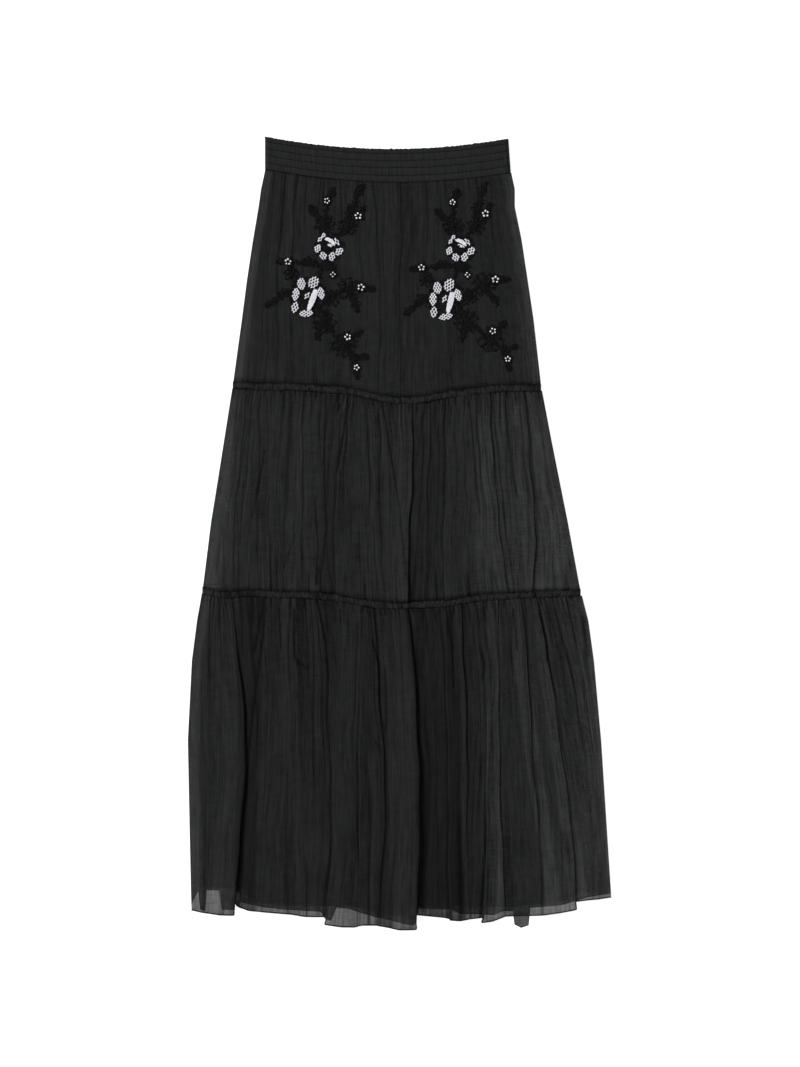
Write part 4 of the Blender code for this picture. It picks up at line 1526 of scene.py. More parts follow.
@dataclass
class SeamBand:
    """The stitched band over a tier seam: flat-topped and puckered, with a groove along each edge."""

    name: str
    edge: Edge
    outer: Face
    rise: float = 0.8
    pitch: float = 1.2
    seed: int = 31
    thickness: float = 0.5
    painted_shade_places: tuple[Span, ...] = ()

    # offset from the band's middle, height as a share of the rise
    PROFILE = (
        (-4.4, 0.0), (-3.7, 0.5), (-3.0, 0.85), (-2.5, 0.4), (-2.0, 0.9), (-1.0, 1.0), (0.0, 0.75),
        (1.0, 1.0), (2.0, 0.9), (2.5, 0.4), (3.0, 0.85), (3.7, 0.5), (4.4, 0.0),
    )

    def build(self, wardrobe: Wardrobe) -> bpy.types.Object:
        """Make and dress the band.

        Args:
            wardrobe: the finishes.

        Returns:
            The band's shell.
        """
        offsets, shares = np.array(self.PROFILE).T
        shares = shares[:, None]
        left, right = (float(side) for side in PATTERN.sides(PATTERN.drop_of(self.edge, -400.0)))
        across = np.linspace(left, right, round((right - left) / self.pitch) + 1)
        x = np.broadcast_to(across, (len(offsets), len(across)))
        choice = random.Random(self.seed)
        pucker = self.puckers(across, offsets, choice)
        ends = smooth(np.minimum(across - left, right - across) / 9.0)[None, :]
        drop = PATTERN.drop_of(self.edge, x) + offsets[:, None] + ends * self.wander(across, offsets, choice)
        inner = PATTERN.inner_share(x, drop)
        if self.outer is Face.UP:
            height = PATTERN.front_height(inner) + self.rise * shares
            height = height + pucker * (0.3 + 0.7 * shares) * (0.3 + 0.7 * inner)
        else:
            height = np.maximum(0.3 - 0.22 * shares - 0.1 * pucker + 0.15 * (1.0 - inner), 0.05)
        # Painted shade in the grooves along the band's edges, in its pucker hollows, at the given places
        # where folds cross it, and in small pinches.
        deep = 0.95 * (1.0 - shares) - 1.1 * pucker
        for middle, reach in self.painted_shade_places:
            deep = deep + 0.9 * smooth(1.0 - np.abs(x - middle) / reach)
        deep = np.clip(deep + self.painted_pinch_shade(across, offsets, choice), 0.0, 1.0)
        place = cloth_places(x, drop, deep)
        made = Shell(self.name, points_of(x, drop, height), place, self.thickness, self.outer).build()
        return fit(made, wardrobe.band, "trim", [self.name])

    def painted_pinch_shade(self, across: Array, offsets: Array, choice: random.Random) -> Array:
        """The painted shade of the small uneven pinches along the band's two edges and its middle."""
        dark = np.zeros((len(offsets), len(across)))
        for row in (-2.9, 0.0, 2.9):
            near = smooth(1.0 - np.abs(offsets - row) / 2.2)[:, None]
            place = across.min() + choice.uniform(0.0, 6.0)
            while place < across.max():
                reach, strength = choice.uniform(1.2, 3.6), choice.uniform(0.1, 0.85)
                dark += strength * near * smooth(1.0 - np.abs(across - place) / reach)
                place += choice.uniform(3.0, 12.0)
        return dark

    def puckers(self, across: Array, offsets: Array, choice: random.Random) -> Array:
        """The lift of the small creases that cross each half of the band."""
        flat = np.zeros((1, len(across)))
        tight = Creases((1.8, 5.5), (0.15, 0.8), (0.9, 1.9), (0.0, 0.0), (40.0, 50.0), raised=0.2)
        halves = [tight.relief(across, flat, flat, choice) for _ in range(3)]
        return np.where(offsets[:, None] < 0.0, halves[0], halves[1]) + 0.5 * halves[2]

    def wander(self, across: Array, offsets: Array, choice: random.Random) -> Array:
        """How far each half of the band strays from its middle line."""
        strays = []
        for _ in range(3):
            phase, slow = choice.uniform(0.0, 6.0), choice.uniform(9.0, 14.0)
            quick = choice.uniform(3.0, 5.0)
            strays.append(0.45 * np.sin(across / slow + phase) + 0.3 * np.sin(across / quick + 2.0 * phase))
        aside = offsets[:, None]
        return 0.8 * np.where(aside < 0.0, *strays[:2]) * np.abs(aside) / 3.9 + 0.9 * strays[2]


class Group(Enum):
    """Which part of a lace spray a motif belongs to: the two parts lean on their own."""

    UPPER = "upper"
    LOWER = "lower"


UP, LOW = Group.UPPER, Group.LOWER


@dataclass(frozen=True)
class Bloom:
    """A flower of the lace: round petals with a notch between each two."""

    group: Group
    x: float
    y: float
    radius: float
    petals: int
    turn: float

    def at(self, reach: Array | float, lean: Array | float) -> Array:
        """Points of the flower, this far from its middle in a direction."""
        return points_of(self.x + reach * np.cos(lean), self.y + reach * np.sin(lean))

    def outline(self, count: int = 72, scale: float = 1.0) -> Array:
        """Points around the flower."""
        angle = np.linspace(0.0, 2.0 * math.pi, count, endpoint=False)
        bulge = np.abs(np.sin(self.petals * angle / 2.0))
        return self.at(scale * self.radius * (0.7 + 0.3 * bulge), angle + math.radians(self.turn))


def turned(middle: Sequence[float], lean: float, along: Array, across: Array) -> Array:
    """Points along and across a direction.

    Args:
        middle: where they are counted from.
        lean: the direction.
        along: how far along it they are.
        across: how far across it they are.

    Returns:
        The points.
    """
    cos, sin = math.cos(lean), math.sin(lean)
    return points_of(middle[0] + along * cos - across * sin, middle[1] + along * sin + across * cos)


@dataclass(frozen=True)
class Leaf:
    """A leaf of the lace: pointed at both ends, widest before its middle."""

    group: Group
    x: float
    y: float
    length: float
    width: float
    turn: float

    def at(self, along: Array, across: Array) -> Array:
        """Points of the leaf: along it from -1 to 1, and across it in millimetres."""
        return turned((self.x, self.y), math.radians(self.turn), 0.5 * self.length * along, across)

    def outline(self, count: int = 48) -> Array:
        """Points around the leaf."""
        angle = np.linspace(0.0, 2.0 * math.pi, count, endpoint=False)
        across = 0.5 * self.width * np.sin(angle) * (0.75 + 0.25 * np.cos(angle))
        return self.at(np.cos(angle), across)


@dataclass(frozen=True)
class Stem:
    """A stem of the lace: it bends towards its middle point."""

    group: Group
    start: Span
    middle: Span
    end: Span

    def line(self, step: float = 0.9) -> Array:
        """Points along the stem."""
        start, middle, end = np.array((self.start, self.middle, self.end))
        reach = np.hypot(*(end - start)) * 1.1
        share = np.linspace(0.0, 1.0, max(4, round(reach / step)))[:, None]
        return (1.0 - share) ** 2 * start + 2.0 * share * (1.0 - share) * middle + share ** 2 * end

    def course(self) -> tuple[Array, Array, Array]:
        """Points along the stem, the direction aside at each, and the length up to it."""
        line = self.line()
        slope = np.gradient(line, axis=0)
        reach = np.hypot(slope[:, 0], slope[:, 1])
        aside = np.stack([-slope[:, 1], slope[:, 0]], axis=-1) / reach[:, None]
        return line, aside, np.cumsum(reach)


LARGE_FLOWERS = (
    Bloom(UP, 0.0, 0.0, 24.0, 7, 10.0),
    Bloom(UP, 27.0, 61.0, 17.5, 7, 30.0),
)
ROSETTES = (
    Bloom(UP, 20.5, 90.0, 12.5, 6, 0.0),
    Bloom(UP, 50.0, 87.0, 11.5, 5, 20.0),
    Bloom(UP, -20.5, 28.0, 9.0, 5, 0.0),
    Bloom(LOW, 31.0, -2.0, 10.0, 5, 12.0),
    Bloom(LOW, 51.0, 9.0, 14.0, 6, 40.0),
    Bloom(LOW, 20.0, -32.0, 14.5, 7, 0.0),
    Bloom(LOW, 45.0, -61.0, 15.5, 7, 25.0),
)
SMALL_FLOWERS = (
    Bloom(UP, 24.0, 119.0, 5.0, 5, 0.0),
    Bloom(UP, 63.0, 100.0, 6.0, 5, 20.0),
    Bloom(UP, -24.5, 43.0, 5.5, 5, 10.0),
    Bloom(UP, 31.5, 27.0, 4.5, 4, 0.0),
    Bloom(LOW, 66.5, 11.0, 6.0, 5, 0.0),
    Bloom(LOW, 50.0, -51.0, 5.5, 5, 30.0),
    Bloom(LOW, 61.0, -89.0, 5.0, 5, 0.0),
)
LEAVES = (
    Leaf(UP, 7.0, 106.0, 22.0, 9.0, 125.0),
    Leaf(UP, 30.0, 129.0, 16.0, 8.0, 65.0),
    Leaf(UP, 53.0, 108.0, 26.0, 11.0, 62.0),
    Leaf(UP, 64.0, 131.0, 24.0, 9.0, 55.0),
    Leaf(UP, 68.0, 107.5, 15.0, 7.0, 60.0),
    Leaf(UP, 0.0, 43.0, 26.0, 9.0, 4.0),
    Leaf(UP, 24.0, 38.0, 26.0, 9.0, -8.0),
    Leaf(UP, -34.0, 43.0, 14.0, 8.0, 176.0),
    Leaf(UP, -30.0, 4.0, 20.0, 9.0, 205.0),
    Leaf(UP, -46.0, -8.0, 22.0, 8.0, 215.0),
    Leaf(LOW, 77.0, 9.0, 16.0, 8.0, -8.0),
    Leaf(LOW, 60.0, -12.0, 20.0, 9.0, -70.0),
    Leaf(LOW, 12.0, -49.0, 14.0, 8.0, -115.0),
    Leaf(LOW, 63.0, -46.0, 14.0, 8.0, 22.0),
    Leaf(LOW, 59.0, -77.0, 16.0, 8.0, -70.0),
    Leaf(LOW, 70.0, -76.0, 16.0, 8.0, 12.0),
    Leaf(LOW, 61.0, -98.0, 15.0, 8.0, -92.0),
)
STEMS = (
    Stem(UP, (64.0, 134.0), (56.0, 104.0), (46.0, 84.0)),
    Stem(UP, (30.0, 132.0), (23.0, 112.0), (19.0, 88.0)),
    Stem(UP, (8.0, 106.0), (12.0, 98.0), (20.0, 90.0)),
    Stem(UP, (50.0, 87.0), (38.0, 80.0), (28.0, 64.0)),
    Stem(UP, (20.0, 90.0), (22.0, 76.0), (27.0, 62.0)),
    Stem(UP, (64.0, 101.0), (59.0, 94.0), (50.0, 87.0)),
    Stem(UP, (27.0, 61.0), (24.0, 44.0), (8.0, 12.0)),
    Stem(UP, (-36.0, 43.0), (0.0, 44.0), (34.0, 36.0)),
    Stem(UP, (32.0, 27.0), (28.0, 34.0), (22.0, 38.0)),
    Stem(UP, (-22.0, 38.0), (-16.0, 26.0), (-4.0, 8.0)),
    Stem(UP, (-50.0, -11.0), (-32.0, 2.0), (-10.0, 6.0)),
    Stem(LOW, (12.0, 4.0), (28.0, 0.0), (50.0, 8.0)),
    Stem(LOW, (50.0, 9.0), (64.0, 12.0), (80.0, 9.0)),
    Stem(LOW, (52.0, 4.0), (58.0, -6.0), (61.0, -16.0)),
    Stem(LOW, (12.0, -8.0), (20.0, -20.0), (22.0, -34.0)),
    Stem(LOW, (20.0, -30.0), (30.0, -46.0), (44.0, -60.0)),
    Stem(LOW, (18.0, -36.0), (14.0, -44.0), (11.0, -52.0)),
    Stem(LOW, (46.0, -58.0), (56.0, -50.0), (66.0, -45.0)),
    Stem(LOW, (46.0, -60.0), (56.0, -72.0), (61.0, -100.0)),
    Stem(LOW, (57.0, -76.0), (64.0, -78.0), (74.0, -76.0)),
)
# The white net petals of the large flower, and then of the one above it: their middles, their
# length along the turn, their width and the turn.
PETALS = (
    Leaf(UP, -7.9, 15.5, 14.5, 10.8, 92.0),
    Leaf(UP, 7.1, 17.1, 15.8, 13.2, 52.0),
    Leaf(UP, 16.5, 3.6, 14.5, 9.2, 100.0),
    Leaf(UP, -1.9, -21.5, 17.0, 8.8, 5.0),
    Leaf(UP, -15.9, -14.0, 14.2, 9.0, 76.0),
    Leaf(UP, -15.0, 2.2, 15.8, 9.2, 80.0),
    Leaf(UP, -0.8, 0.6, 9.4, 5.6, 56.0),
    Leaf(UP, 12.4, 59.4, 9.8, 8.6, 62.0),
    Leaf(UP, 19.4, 50.3, 9.6, 9.6, 100.0),
    Leaf(UP, 30.3, 49.4, 10.5, 9.0, 72.0),
    Leaf(UP, 39.3, 55.7, 11.0, 9.4, 40.0),
    Leaf(UP, 19.8, 76.1, 5.4, 5.0, 30.0),
    Leaf(UP, 15.4, 71.0, 8.4, 4.6, 46.0),
    Leaf(UP, 36.4, 68.0, 10.4, 4.8, 124.0),
)


@dataclass(frozen=True)
class Crescent:
    """A bright throat of a flower: threads side by side along a bent line."""

    group: Group
    line: tuple[tuple[float, float], tuple[float, float], tuple[float, float]]
    width: float
    ends: tuple[float, float] = (0.1, 0.9)


THROATS = (
    Crescent(UP, ((10.4, 8.6), (6.4, -5.0), (0.6, -17.4)), 7.2, (0.2, 0.86)),
    Crescent(UP, ((21.0, 71.6), (30.0, 71.2), (34.6, 62.0)), 4.6),
    Crescent(UP, ((23.6, 64.9), (28.6, 64.0), (31.2, 60.8)), 3.4),
)


@dataclass
class LaceSpray:
    """One lace spray on the yoke: black corded motifs, white net petals and small bead flowers."""

    name: str
    x: float
    drop: float
    upper_turn: float
    lower_turn: float
    yoke: FoldedTier
    seed: int
    ground_lift: float = 0.35
    ground_thickness: float = 0.25
    cord_radius: float = 0.48
    net_pitch: float = 2.9
    net_radius: float = 0.55
    bead_share: float = 0.24
    choice: random.Random = field(init=False)
    cords: Cords = field(init=False)
    net: Cords = field(init=False)

    def __post_init__(self) -> None:
        """Start the spray's threads."""
        self.choice = random.Random(self.seed)
        self.cords = Cords(f"{self.name}_cords", self.cord_radius, 0)
        self.net = Cords(f"{self.name}_net", self.net_radius, 1)

    def laid(self, points: Array, group: Group, lift: Array | float) -> Array:
        """Lay points of the spray on the yoke.

        Args:
            points: their x and y from the large flower's middle.
            group: the part of the spray that they belong to.
            lift: how far above the cloth they lie.

        Returns:
            Their x, drop and height.
        """
        lean = math.radians(self.upper_turn if group is Group.UPPER else self.lower_turn)
        x = self.x + points[..., 0] * math.cos(lean) - points[..., 1] * math.sin(lean)
        drop = self.drop - points[..., 0] * math.sin(lean) - points[..., 1] * math.cos(lean)
        height = self.yoke.height_at(x.ravel(), drop.ravel()).reshape(x.shape)
        return np.stack([x, drop, height + lift], axis=-1)

    def cord(self, points: Array, group: Group, lift: float = 0.9, thickness: float = 1.0) -> None:
        """Lay a black cord of uneven thickness.

        Args:
            points: its middle line on the spray.
            group: the part of the spray that it belongs to.
            lift: how far above the cloth it lies.
            thickness: its thickness, as a share of the full one.
        """
        steps = np.arange(len(points))
        uneven = 1.0 + 0.28 * np.sin(steps * 1.9 + self.choice.uniform(0.0, 6.0))
        self.cords.add(self.laid(points, group, lift), thickness * uneven)

    def loop(
        self, middle: Array, lean: float, size: tuple[float, float], group: Group, lift: float,
        thickness: float = 1.0,
    ) -> None:
        """Lay one closed loop of cord.

        Args:
            middle: the loop's middle.
            lean: the direction of its length.
            size: half its length and half its width.
            group: the part of the spray that it belongs to.
            lift: how far above the cloth it lies.
            thickness: the cord's thickness, as a share of the full one.
        """
        turns = np.linspace(0.0, 2.0 * math.pi, max(8, round(3.5 * (size[0] + size[1]))))
        along = size[0] * np.cos(turns)
        across = size[1] * np.sin(turns) * (1.0 + 0.25 * np.cos(turns))
        line = np.stack([
            middle[0] + along * math.cos(lean) - across * math.sin(lean),
            middle[1] + along * math.sin(lean) + across * math.cos(lean),
        ], axis=-1)
        self.cord(line, group, lift, thickness)

    def ragged(self, outline: Array, centre: tuple[float, float], depth: float) -> Array:
        """An outline with small uneven scallops.

        Args:
            outline: points around a motif.
            centre: the motif's middle.
            depth: how far the scallops reach, as a share of the motif.

        Returns:
            The scalloped outline.
        """
        middle = np.array(centre)
        angle = np.linspace(0.0, 2.0 * math.pi, len(outline), endpoint=False)
        count = self.choice.randint(9, 14)
        wave = np.abs(np.sin(angle * count / 2.0 + self.choice.uniform(0.0, 3.0)))
        slow = np.sin(angle * 3.0 + self.choice.uniform(0.0, 6.0)) * 0.4
        return middle + (outline - middle) * (1.0 + depth * (wave + slow - 0.5))[:, None]

    def ground(self) -> bpy.types.Object:
        """The fine black net of every motif, as one mesh of domed plates and ribbons."""
        points, faces = [], []
        for number, motif in enumerate((*LARGE_FLOWERS, *ROSETTES, *SMALL_FLOWERS, *LEAVES)):
            self.add_plate(motif, 0.012 * number, points, faces)
        for number, stem in enumerate(STEMS):
            self.add_ribbon(stem, 0.012 * number, points, faces)
        return thickened(joined_mesh(self.name, np.concatenate(points), faces), self.ground_thickness)

    def add_plate(self, motif: Bloom | Leaf, step: float, points: list[Array], faces: list) -> None:
        """Add a motif's domed plate to the ground.

        Args:
            motif: the motif.
            step: how much higher than the lowest plate it lies.
            points: the ground's points so far.
            faces: its faces so far.
        """
        start = sum(len(ring) for ring in points)
        centre = np.array((motif.x, motif.y))
        outline = self.ragged(motif.outline(), (motif.x, motif.y), 0.34)
        count = len(outline)
        scales, domes = (0.8, 0.66, 0.46, 0.25), (0.0, 0.15, 0.2, 0.25)
        for scale, dome in zip(scales, domes):
            ring = centre + (outline - centre) * scale
            points.append(self.laid(ring, motif.group, self.ground_lift + dome + step))
        points.append(self.laid(centre[None, :], motif.group, self.ground_lift + domes[-1] + step))
        around = np.arange(count)
        onward = (around + 1) % count
        for ring in range(len(scales) - 1):
            outer, inner = start + ring * count, start + (ring + 1) * count
            corners = [outer + around, outer + onward, inner + onward, inner + around]
            faces.extend(np.stack(corners, axis=1).tolist())
        last, middle = start + (len(scales) - 1) * count, start + len(scales) * count
        faces.extend([[last + a, last + b, middle] for a, b in zip(around.tolist(), onward.tolist())])

    def add_ribbon(self, stem: Stem, step: float, points: list[Array], faces: list) -> None:
        """Add a stem's uneven ribbon to the ground.

        Args:
            stem: the stem.
            step: how much higher than the lowest ribbon it lies.
            points: the ground's points so far.
            faces: its faces so far.
        """
        start = sum(len(row) for row in points)
        line, aside, length = stem.course()
        for side in (1.0, 0.0, -1.0):
            phase = self.choice.uniform(0.0, 6.0)
            width = 1.7 + 0.9 * np.sin(length / 1.3 + phase) + 0.5 * np.sin(length / 3.1 + 2.0 * phase)
            lift = self.ground_lift + step + (0.3 if side == 0.0 else 0.0)
            points.append(self.laid(line + aside * (side * width)[:, None], stem.group, lift))
        count = len(line)
        for row in (0, 1):
            for place in range(count - 1):
                near, far = start + row * count + place, start + (row + 1) * count + place
                faces.append([near, far, far + 1, near + 1])

    def cord_motifs(self) -> None:
        """Lay the black cords of every motif."""
        for bloom in LARGE_FLOWERS:
            self.cord_large_flower(bloom)
        for bloom in ROSETTES:
            self.cord_rosette(bloom)
        for bloom in SMALL_FLOWERS:
            self.cord_ring(bloom, 0.92, 0.34, 7)
        for leaf in LEAVES:
            self.cord_leaf(leaf)
        for stem in STEMS:
            self.cord_stem(stem)

    def cord_large_flower(self, bloom: Bloom) -> None:
        """Lay the dark scalloped rims round a large flower's white petals."""
        self.cord_ring(bloom, 0.93, 0.09, round(3.0 * bloom.petals))
        for scale in (1.0, 0.86):
            rim = self.ragged(bloom.outline(96, scale), (bloom.x, bloom.y), 0.12)
            self.cord(np.concatenate([rim, rim[:1]]), bloom.group, 0.75)

    def cord_ring(self, bloom: Bloom, place: float, size: float, count: int) -> None:
        """Lay a ring of loops around a flower's middle.

        Args:
            bloom: the flower.
            place: the ring's radius, as a share of the flower's.
            size: a loop's half length, as a share of the flower's radius.
            count: how many loops it has.
        """
        for number in range(count):
            step = number + self.choice.uniform(-0.2, 0.2)
            lean = math.radians(bloom.turn) + 2.0 * math.pi * step / count
            reach = bloom.radius * place * self.choice.uniform(0.9, 1.08)
            middle = (bloom.x + reach * math.cos(lean), bloom.y + reach * math.sin(lean))
            half = bloom.radius * size * self.choice.uniform(0.75, 1.25)
            turn = lean + self.choice.uniform(-0.5, 0.5)
            self.loop(np.array(middle), turn, (half, 0.75 * half), bloom.group, 0.9, 0.9)

    def cord_rosette(self, bloom: Bloom) -> None:
        """Lay a rosette: a ring of large loops, a ring of small ones, and a coil in the middle."""
        self.cord_ring(bloom, 0.62, 0.34, bloom.petals)
        self.cord_ring(bloom, 0.96, 0.13, bloom.petals + 3)
        coil = np.linspace(0.0, 4.0 * math.pi, 20)
        reach = bloom.radius * 0.16 * coil / coil[-1]
        self.cord(bloom.at(reach, coil), bloom.group, 1.3)

    def cord_leaf(self, leaf: Leaf) -> None:
        """Lay a leaf's midrib and the small lobes on both its sides.

        Args:
            leaf: the leaf.
        """
        along = np.linspace(-0.98, 0.9, 12)
        self.cord(leaf.at(along, 0.5 * np.sin(along * 3.0)), leaf.group, 1.1)
        lean = math.radians(leaf.turn)
        root = -0.85
        while root < 0.9:
            for side in (-1.0, 1.0):
                wide = 0.56 * leaf.width * (1.0 - 0.85 * root * root) * self.choice.uniform(0.6, 1.3)
                size = (max(0.9, 0.52 * wide), max(0.6, 0.26 * wide))
                place = root + self.choice.uniform(-0.08, 0.08)
                middle = leaf.at(np.array(place), np.array(side * 0.6 * wide))
                turn = lean + side * self.choice.uniform(0.5, 1.2)
                self.loop(middle, turn, size, leaf.group, 0.9, 0.9)
            root += 2.0 * self.choice.uniform(2.8, 4.4) / leaf.length

    def cord_stem(self, stem: Stem) -> None:
        """Lay a stem's two twisted cords and the small leaflets along it.

        Args:
            stem: the stem.
        """
        line, aside, length = stem.course()
        for phase in (0.0, math.pi):
            swing = 0.8 * np.sin(length / 1.2 + phase)
            self.cord(line + aside * swing[:, None], stem.group, 0.9)
        place, side = 1.0, self.choice.choice((-1.0, 1.0))
        while place < length[-1] - 0.5:
            index = min(int(np.searchsorted(length, place)), len(line) - 2)
            ahead = line[index + 1] - line[index]
            turn = math.atan2(ahead[1], ahead[0]) + side * self.choice.uniform(0.5, 1.3)
            half = self.choice.uniform(0.9, 2.3)
            middle = line[index] + aside[index] * side * (0.5 + half)
            self.loop(middle, turn, (half, 0.5 * half), stem.group, 0.8, 0.9)
            place += self.choice.uniform(1.9, 4.2)
            side = -side if self.choice.random() < 0.8 else side

    def net_petals(self) -> None:
        """Lay the white petals, each two crossing families of threads with ragged ends."""
        for petal in PETALS:
            for number, lean in enumerate((33.0, -33.0)):
                self.net_family(petal, math.radians(lean), 1.35 + 0.4 * number)
        for throat in THROATS:
            self.fill_throat(throat)

    def net_family(self, petal: Leaf, lean: float, lift: float) -> None:
        """Lay one family of a petal's threads.

        Args:
            petal: the petal.
            lean: the threads' direction, against the petal's length.
            lift: how far above the cloth they lie.
        """
        half_length, half_width = 0.46 * petal.length, 0.46 * petal.width
        forward = np.array((math.cos(lean), math.sin(lean)))
        aside = np.array((-math.sin(lean), math.cos(lean)))
        reach = math.hypot(half_length * aside[0], half_width * aside[1])
        scaled = np.array((1.0 / half_length, 1.0 / half_width))
        threads = max(2, round(2.0 * reach / self.net_pitch))
        for number in range(threads):
            offset = reach * (2.0 * (number + 0.5) / threads - 1.0)
            across = aside * offset * scaled
            along = forward * scaled
            a, b, c = along @ along, along @ across, across @ across - 1.0
            root = math.sqrt(max(b * b - a * c, 0.0))
            start = (-b - root) / a + self.choice.uniform(-0.5, 0.5)
            end = (-b + root) / a + self.choice.uniform(-0.5, 0.5)
            steps = np.linspace(start, end, max(3, round((end - start) / 1.4)))
            bend = 0.18 * np.sin(steps * 1.6 + offset)
            local = steps[:, None] * forward + (offset + bend)[:, None] * aside
            line = petal.at(local[:, 0] / half_length, local[:, 1])
            uneven = 1.0 + 0.15 * np.sin(steps * 2.2 + offset)
            self.net.add(self.laid(line, petal.group, lift), uneven)

    def fill_throat(self, throat: Crescent) -> None:
        """Lay a throat's threads side by side.

        Args:
            throat: the throat.
        """
        line, aside, length = Stem(throat.group, *throat.line).course()
        share = length / length[-1]
        swell = np.sin(math.pi * (throat.ends[0] + (throat.ends[1] - throat.ends[0]) * share))
        threads = max(3, round(throat.width / 1.0))
        for number in range(threads):
            side = (number + 0.5) / threads - 0.5
            first = self.choice.randint(0, 3)
            last = len(line) - self.choice.randint(0, 3)
            stray = 0.3 * np.sin(length * 1.3 + 2.0 * number)
            place = line + aside * (side * throat.width * swell + stray)[:, None]
            self.net.add(self.laid(place[first:last], throat.group, 2.2), 1.0)

    def beads(self) -> bpy.types.Object:
        """The beads of the small flowers, as one mesh."""
        rings, around = 5, 8
        rise = np.linspace(-0.5 * math.pi, 0.5 * math.pi, rings + 2)[1:-1, None]
        turn = np.linspace(0.0, 2.0 * math.pi, around, endpoint=False)[None, :]
        sphere = np.stack(np.broadcast_arrays(
            np.cos(rise) * np.cos(turn), -np.cos(rise) * np.sin(turn), np.sin(rise)), axis=-1)
        sphere = np.concatenate([sphere.reshape(-1, 3), ((0.0, 0.0, -1.0), (0.0, 0.0, 1.0))])
        points, faces = [], []
        for bloom in SMALL_FLOWERS:
            for number in range(bloom.petals):
                lean = 2.0 * math.pi * number / bloom.petals + self.choice.uniform(-0.15, 0.15)
                lean += math.radians(bloom.turn)
                reach = 0.56 * bloom.radius
                centre = np.array(((bloom.x + reach * math.cos(lean), bloom.y + reach * math.sin(lean)),))
                radius = self.bead_share * bloom.radius * self.choice.uniform(0.85, 1.1)
                middle = self.laid(centre, bloom.group, 1.0 + radius)[0]
                start = len(sphere) * len(points)
                points.append(middle + sphere * radius)
                for ring in range(rings - 1):
                    for step in range(around):
                        onward = (step + 1) % around
                        low, high = start + ring * around, start + (ring + 1) * around
                        faces.append([low + step, low + onward, high + onward, high + step])
                bottom, top = start + rings * around, start + rings * around + 1
                last = start + (rings - 1) * around
                for step in range(around):
                    onward = (step + 1) % around
                    faces.append([start + onward, start + step, bottom])
                    faces.append([last + step, last + onward, top])
        return joined_mesh(f"{self.name}_beads", np.concatenate(points), faces)

    def build(self, wardrobe: Wardrobe) -> list[bpy.types.Object]:
        """Make and dress the spray.

        Args:
            wardrobe: the finishes.

        Returns:
            The spray's pieces.
        """
        ground = fit(self.ground(), wardrobe.lace_ground, "lace", [self.name])
        self.cord_motifs()
        cords = fit(self.cords.build(), wardrobe.lace_cord, "lace")
        self.net_petals()
        net = fit(self.net.build(), wardrobe.net)
        beads = fit(self.beads(), wardrobe.beads)
        return [ground, cords, net, beads]


@dataclass(frozen=True)
class Studio:
    """The pale floor, the soft lights and the camera straight above."""

    view_height: float = 1.33375
    centre: tuple[float, float] = (0.0006, -0.0006)
    lens: float = 100.0
    sensor: float = 36.0
    fill: float = 0.35
    key_strength: float = 3.1
    key_spread: float = 22.0
    key_place: tuple[float, float, float] = (-1.4, 0.6, 1.5)
    floor_size: float = 8.0

    def build(self, floor_material: bpy.types.Material) -> None:
        """Set up the studio.

        Args:
            floor_material: the floor's finish.
        """
        scene = bpy.context.scene
        half = 0.5 * self.floor_size
        mesh = bpy.data.meshes.new("floor")
        corners = [(-half, -half, 0.0), (half, -half, 0.0), (half, half, 0.0), (-half, half, 0.0)]
        mesh.from_pydata(corners, [], [(0, 1, 2, 3)])
        mesh.materials.append(floor_material)
        floor = bpy.data.objects.new("floor", mesh)
        scene.collection.objects.link(floor)
        floor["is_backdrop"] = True

        world = bpy.data.worlds.new("soft_room")
        world.use_nodes = True
        world.node_tree.nodes["Background"].inputs["Color"].default_value = (1.0, 1.0, 1.0, 1.0)
        world.node_tree.nodes["Background"].inputs["Strength"].default_value = self.fill
        scene.world = world

        key = bpy.data.lights.new("key", "SUN")
        key.angle = math.radians(self.key_spread)
        key.energy = self.key_strength
        self._aim("key", key, self.key_place)

        camera = bpy.data.cameras.new("camera")
        camera.sensor_fit = "AUTO"
        camera.sensor_width = self.sensor
        camera.lens = self.lens
        distance = self.view_height * self.lens / self.sensor
        holder = bpy.data.objects.new("camera", camera)
        holder.location = (*self.centre, distance)
        scene.collection.objects.link(holder)
        scene.camera = holder
        scene.view_settings.view_transform = "Standard"

    def _aim(self, name: str, light: bpy.types.Light, place: tuple[float, float, float]) -> None:
        """Hang a light at a place, turned to the skirt."""
        holder = bpy.data.objects.new(name, light)
        bpy.context.scene.collection.objects.link(holder)
        holder.location = place
        holder.rotation_mode = "QUATERNION"
        holder.rotation_quaternion = (-holder.location).to_track_quat("-Z", "Y")


# The places where the back's hem steps up or down.
BACK_HEM_STEPS = (-251.0, -249.0, -243.0, -241.5, -225.0, -222.0, -206.0, -205.0, -200.0, -198.5,
                  -93.0, -86.0, -79.0, 18.0, 24.0, 142.0, 144.0, 152.0, 161.0, 163.0)

SEAM_CREASES = Creases((2.6, 6.5), (0.3, 0.95), (1.1, 2.0), (0.0, 0.0), (8.0, 55.0), 0.07)
SEAM_TEETH = Creases((4.0, 11.0), (0.5, 1.3), (1.3, 2.4), (0.0, 0.0), (4.0, 16.0), 0.02, 0.0)
LONG_CREASES = Creases((6.0, 17.0), (0.25, 0.85), (1.2, 2.2), (-20.0, 30.0), (70.0, 330.0), 0.04)
FREE_CREASES = Creases((12.0, 30.0), (0.15, 0.5), (1.5, 3.5), (60.0, 260.0), (80.0, 300.0), 0.03)
FOOT_CREASES = Creases((6.0, 18.0), (0.25, 0.8), (1.2, 2.2), (0.0, 0.0), (12.0, 70.0), 0.05, from_foot=True)
HEM_CREASES = Creases((12.0, 30.0), (0.2, 0.6), (2.0, 4.5), (0.0, 0.0), (80.0, 300.0), 0.03, from_foot=True)
PLEATS = Gathers((12.0, 30.0), (0.1, 0.45), (8.0, 17.0), 3.5, (90.0, 400.0))
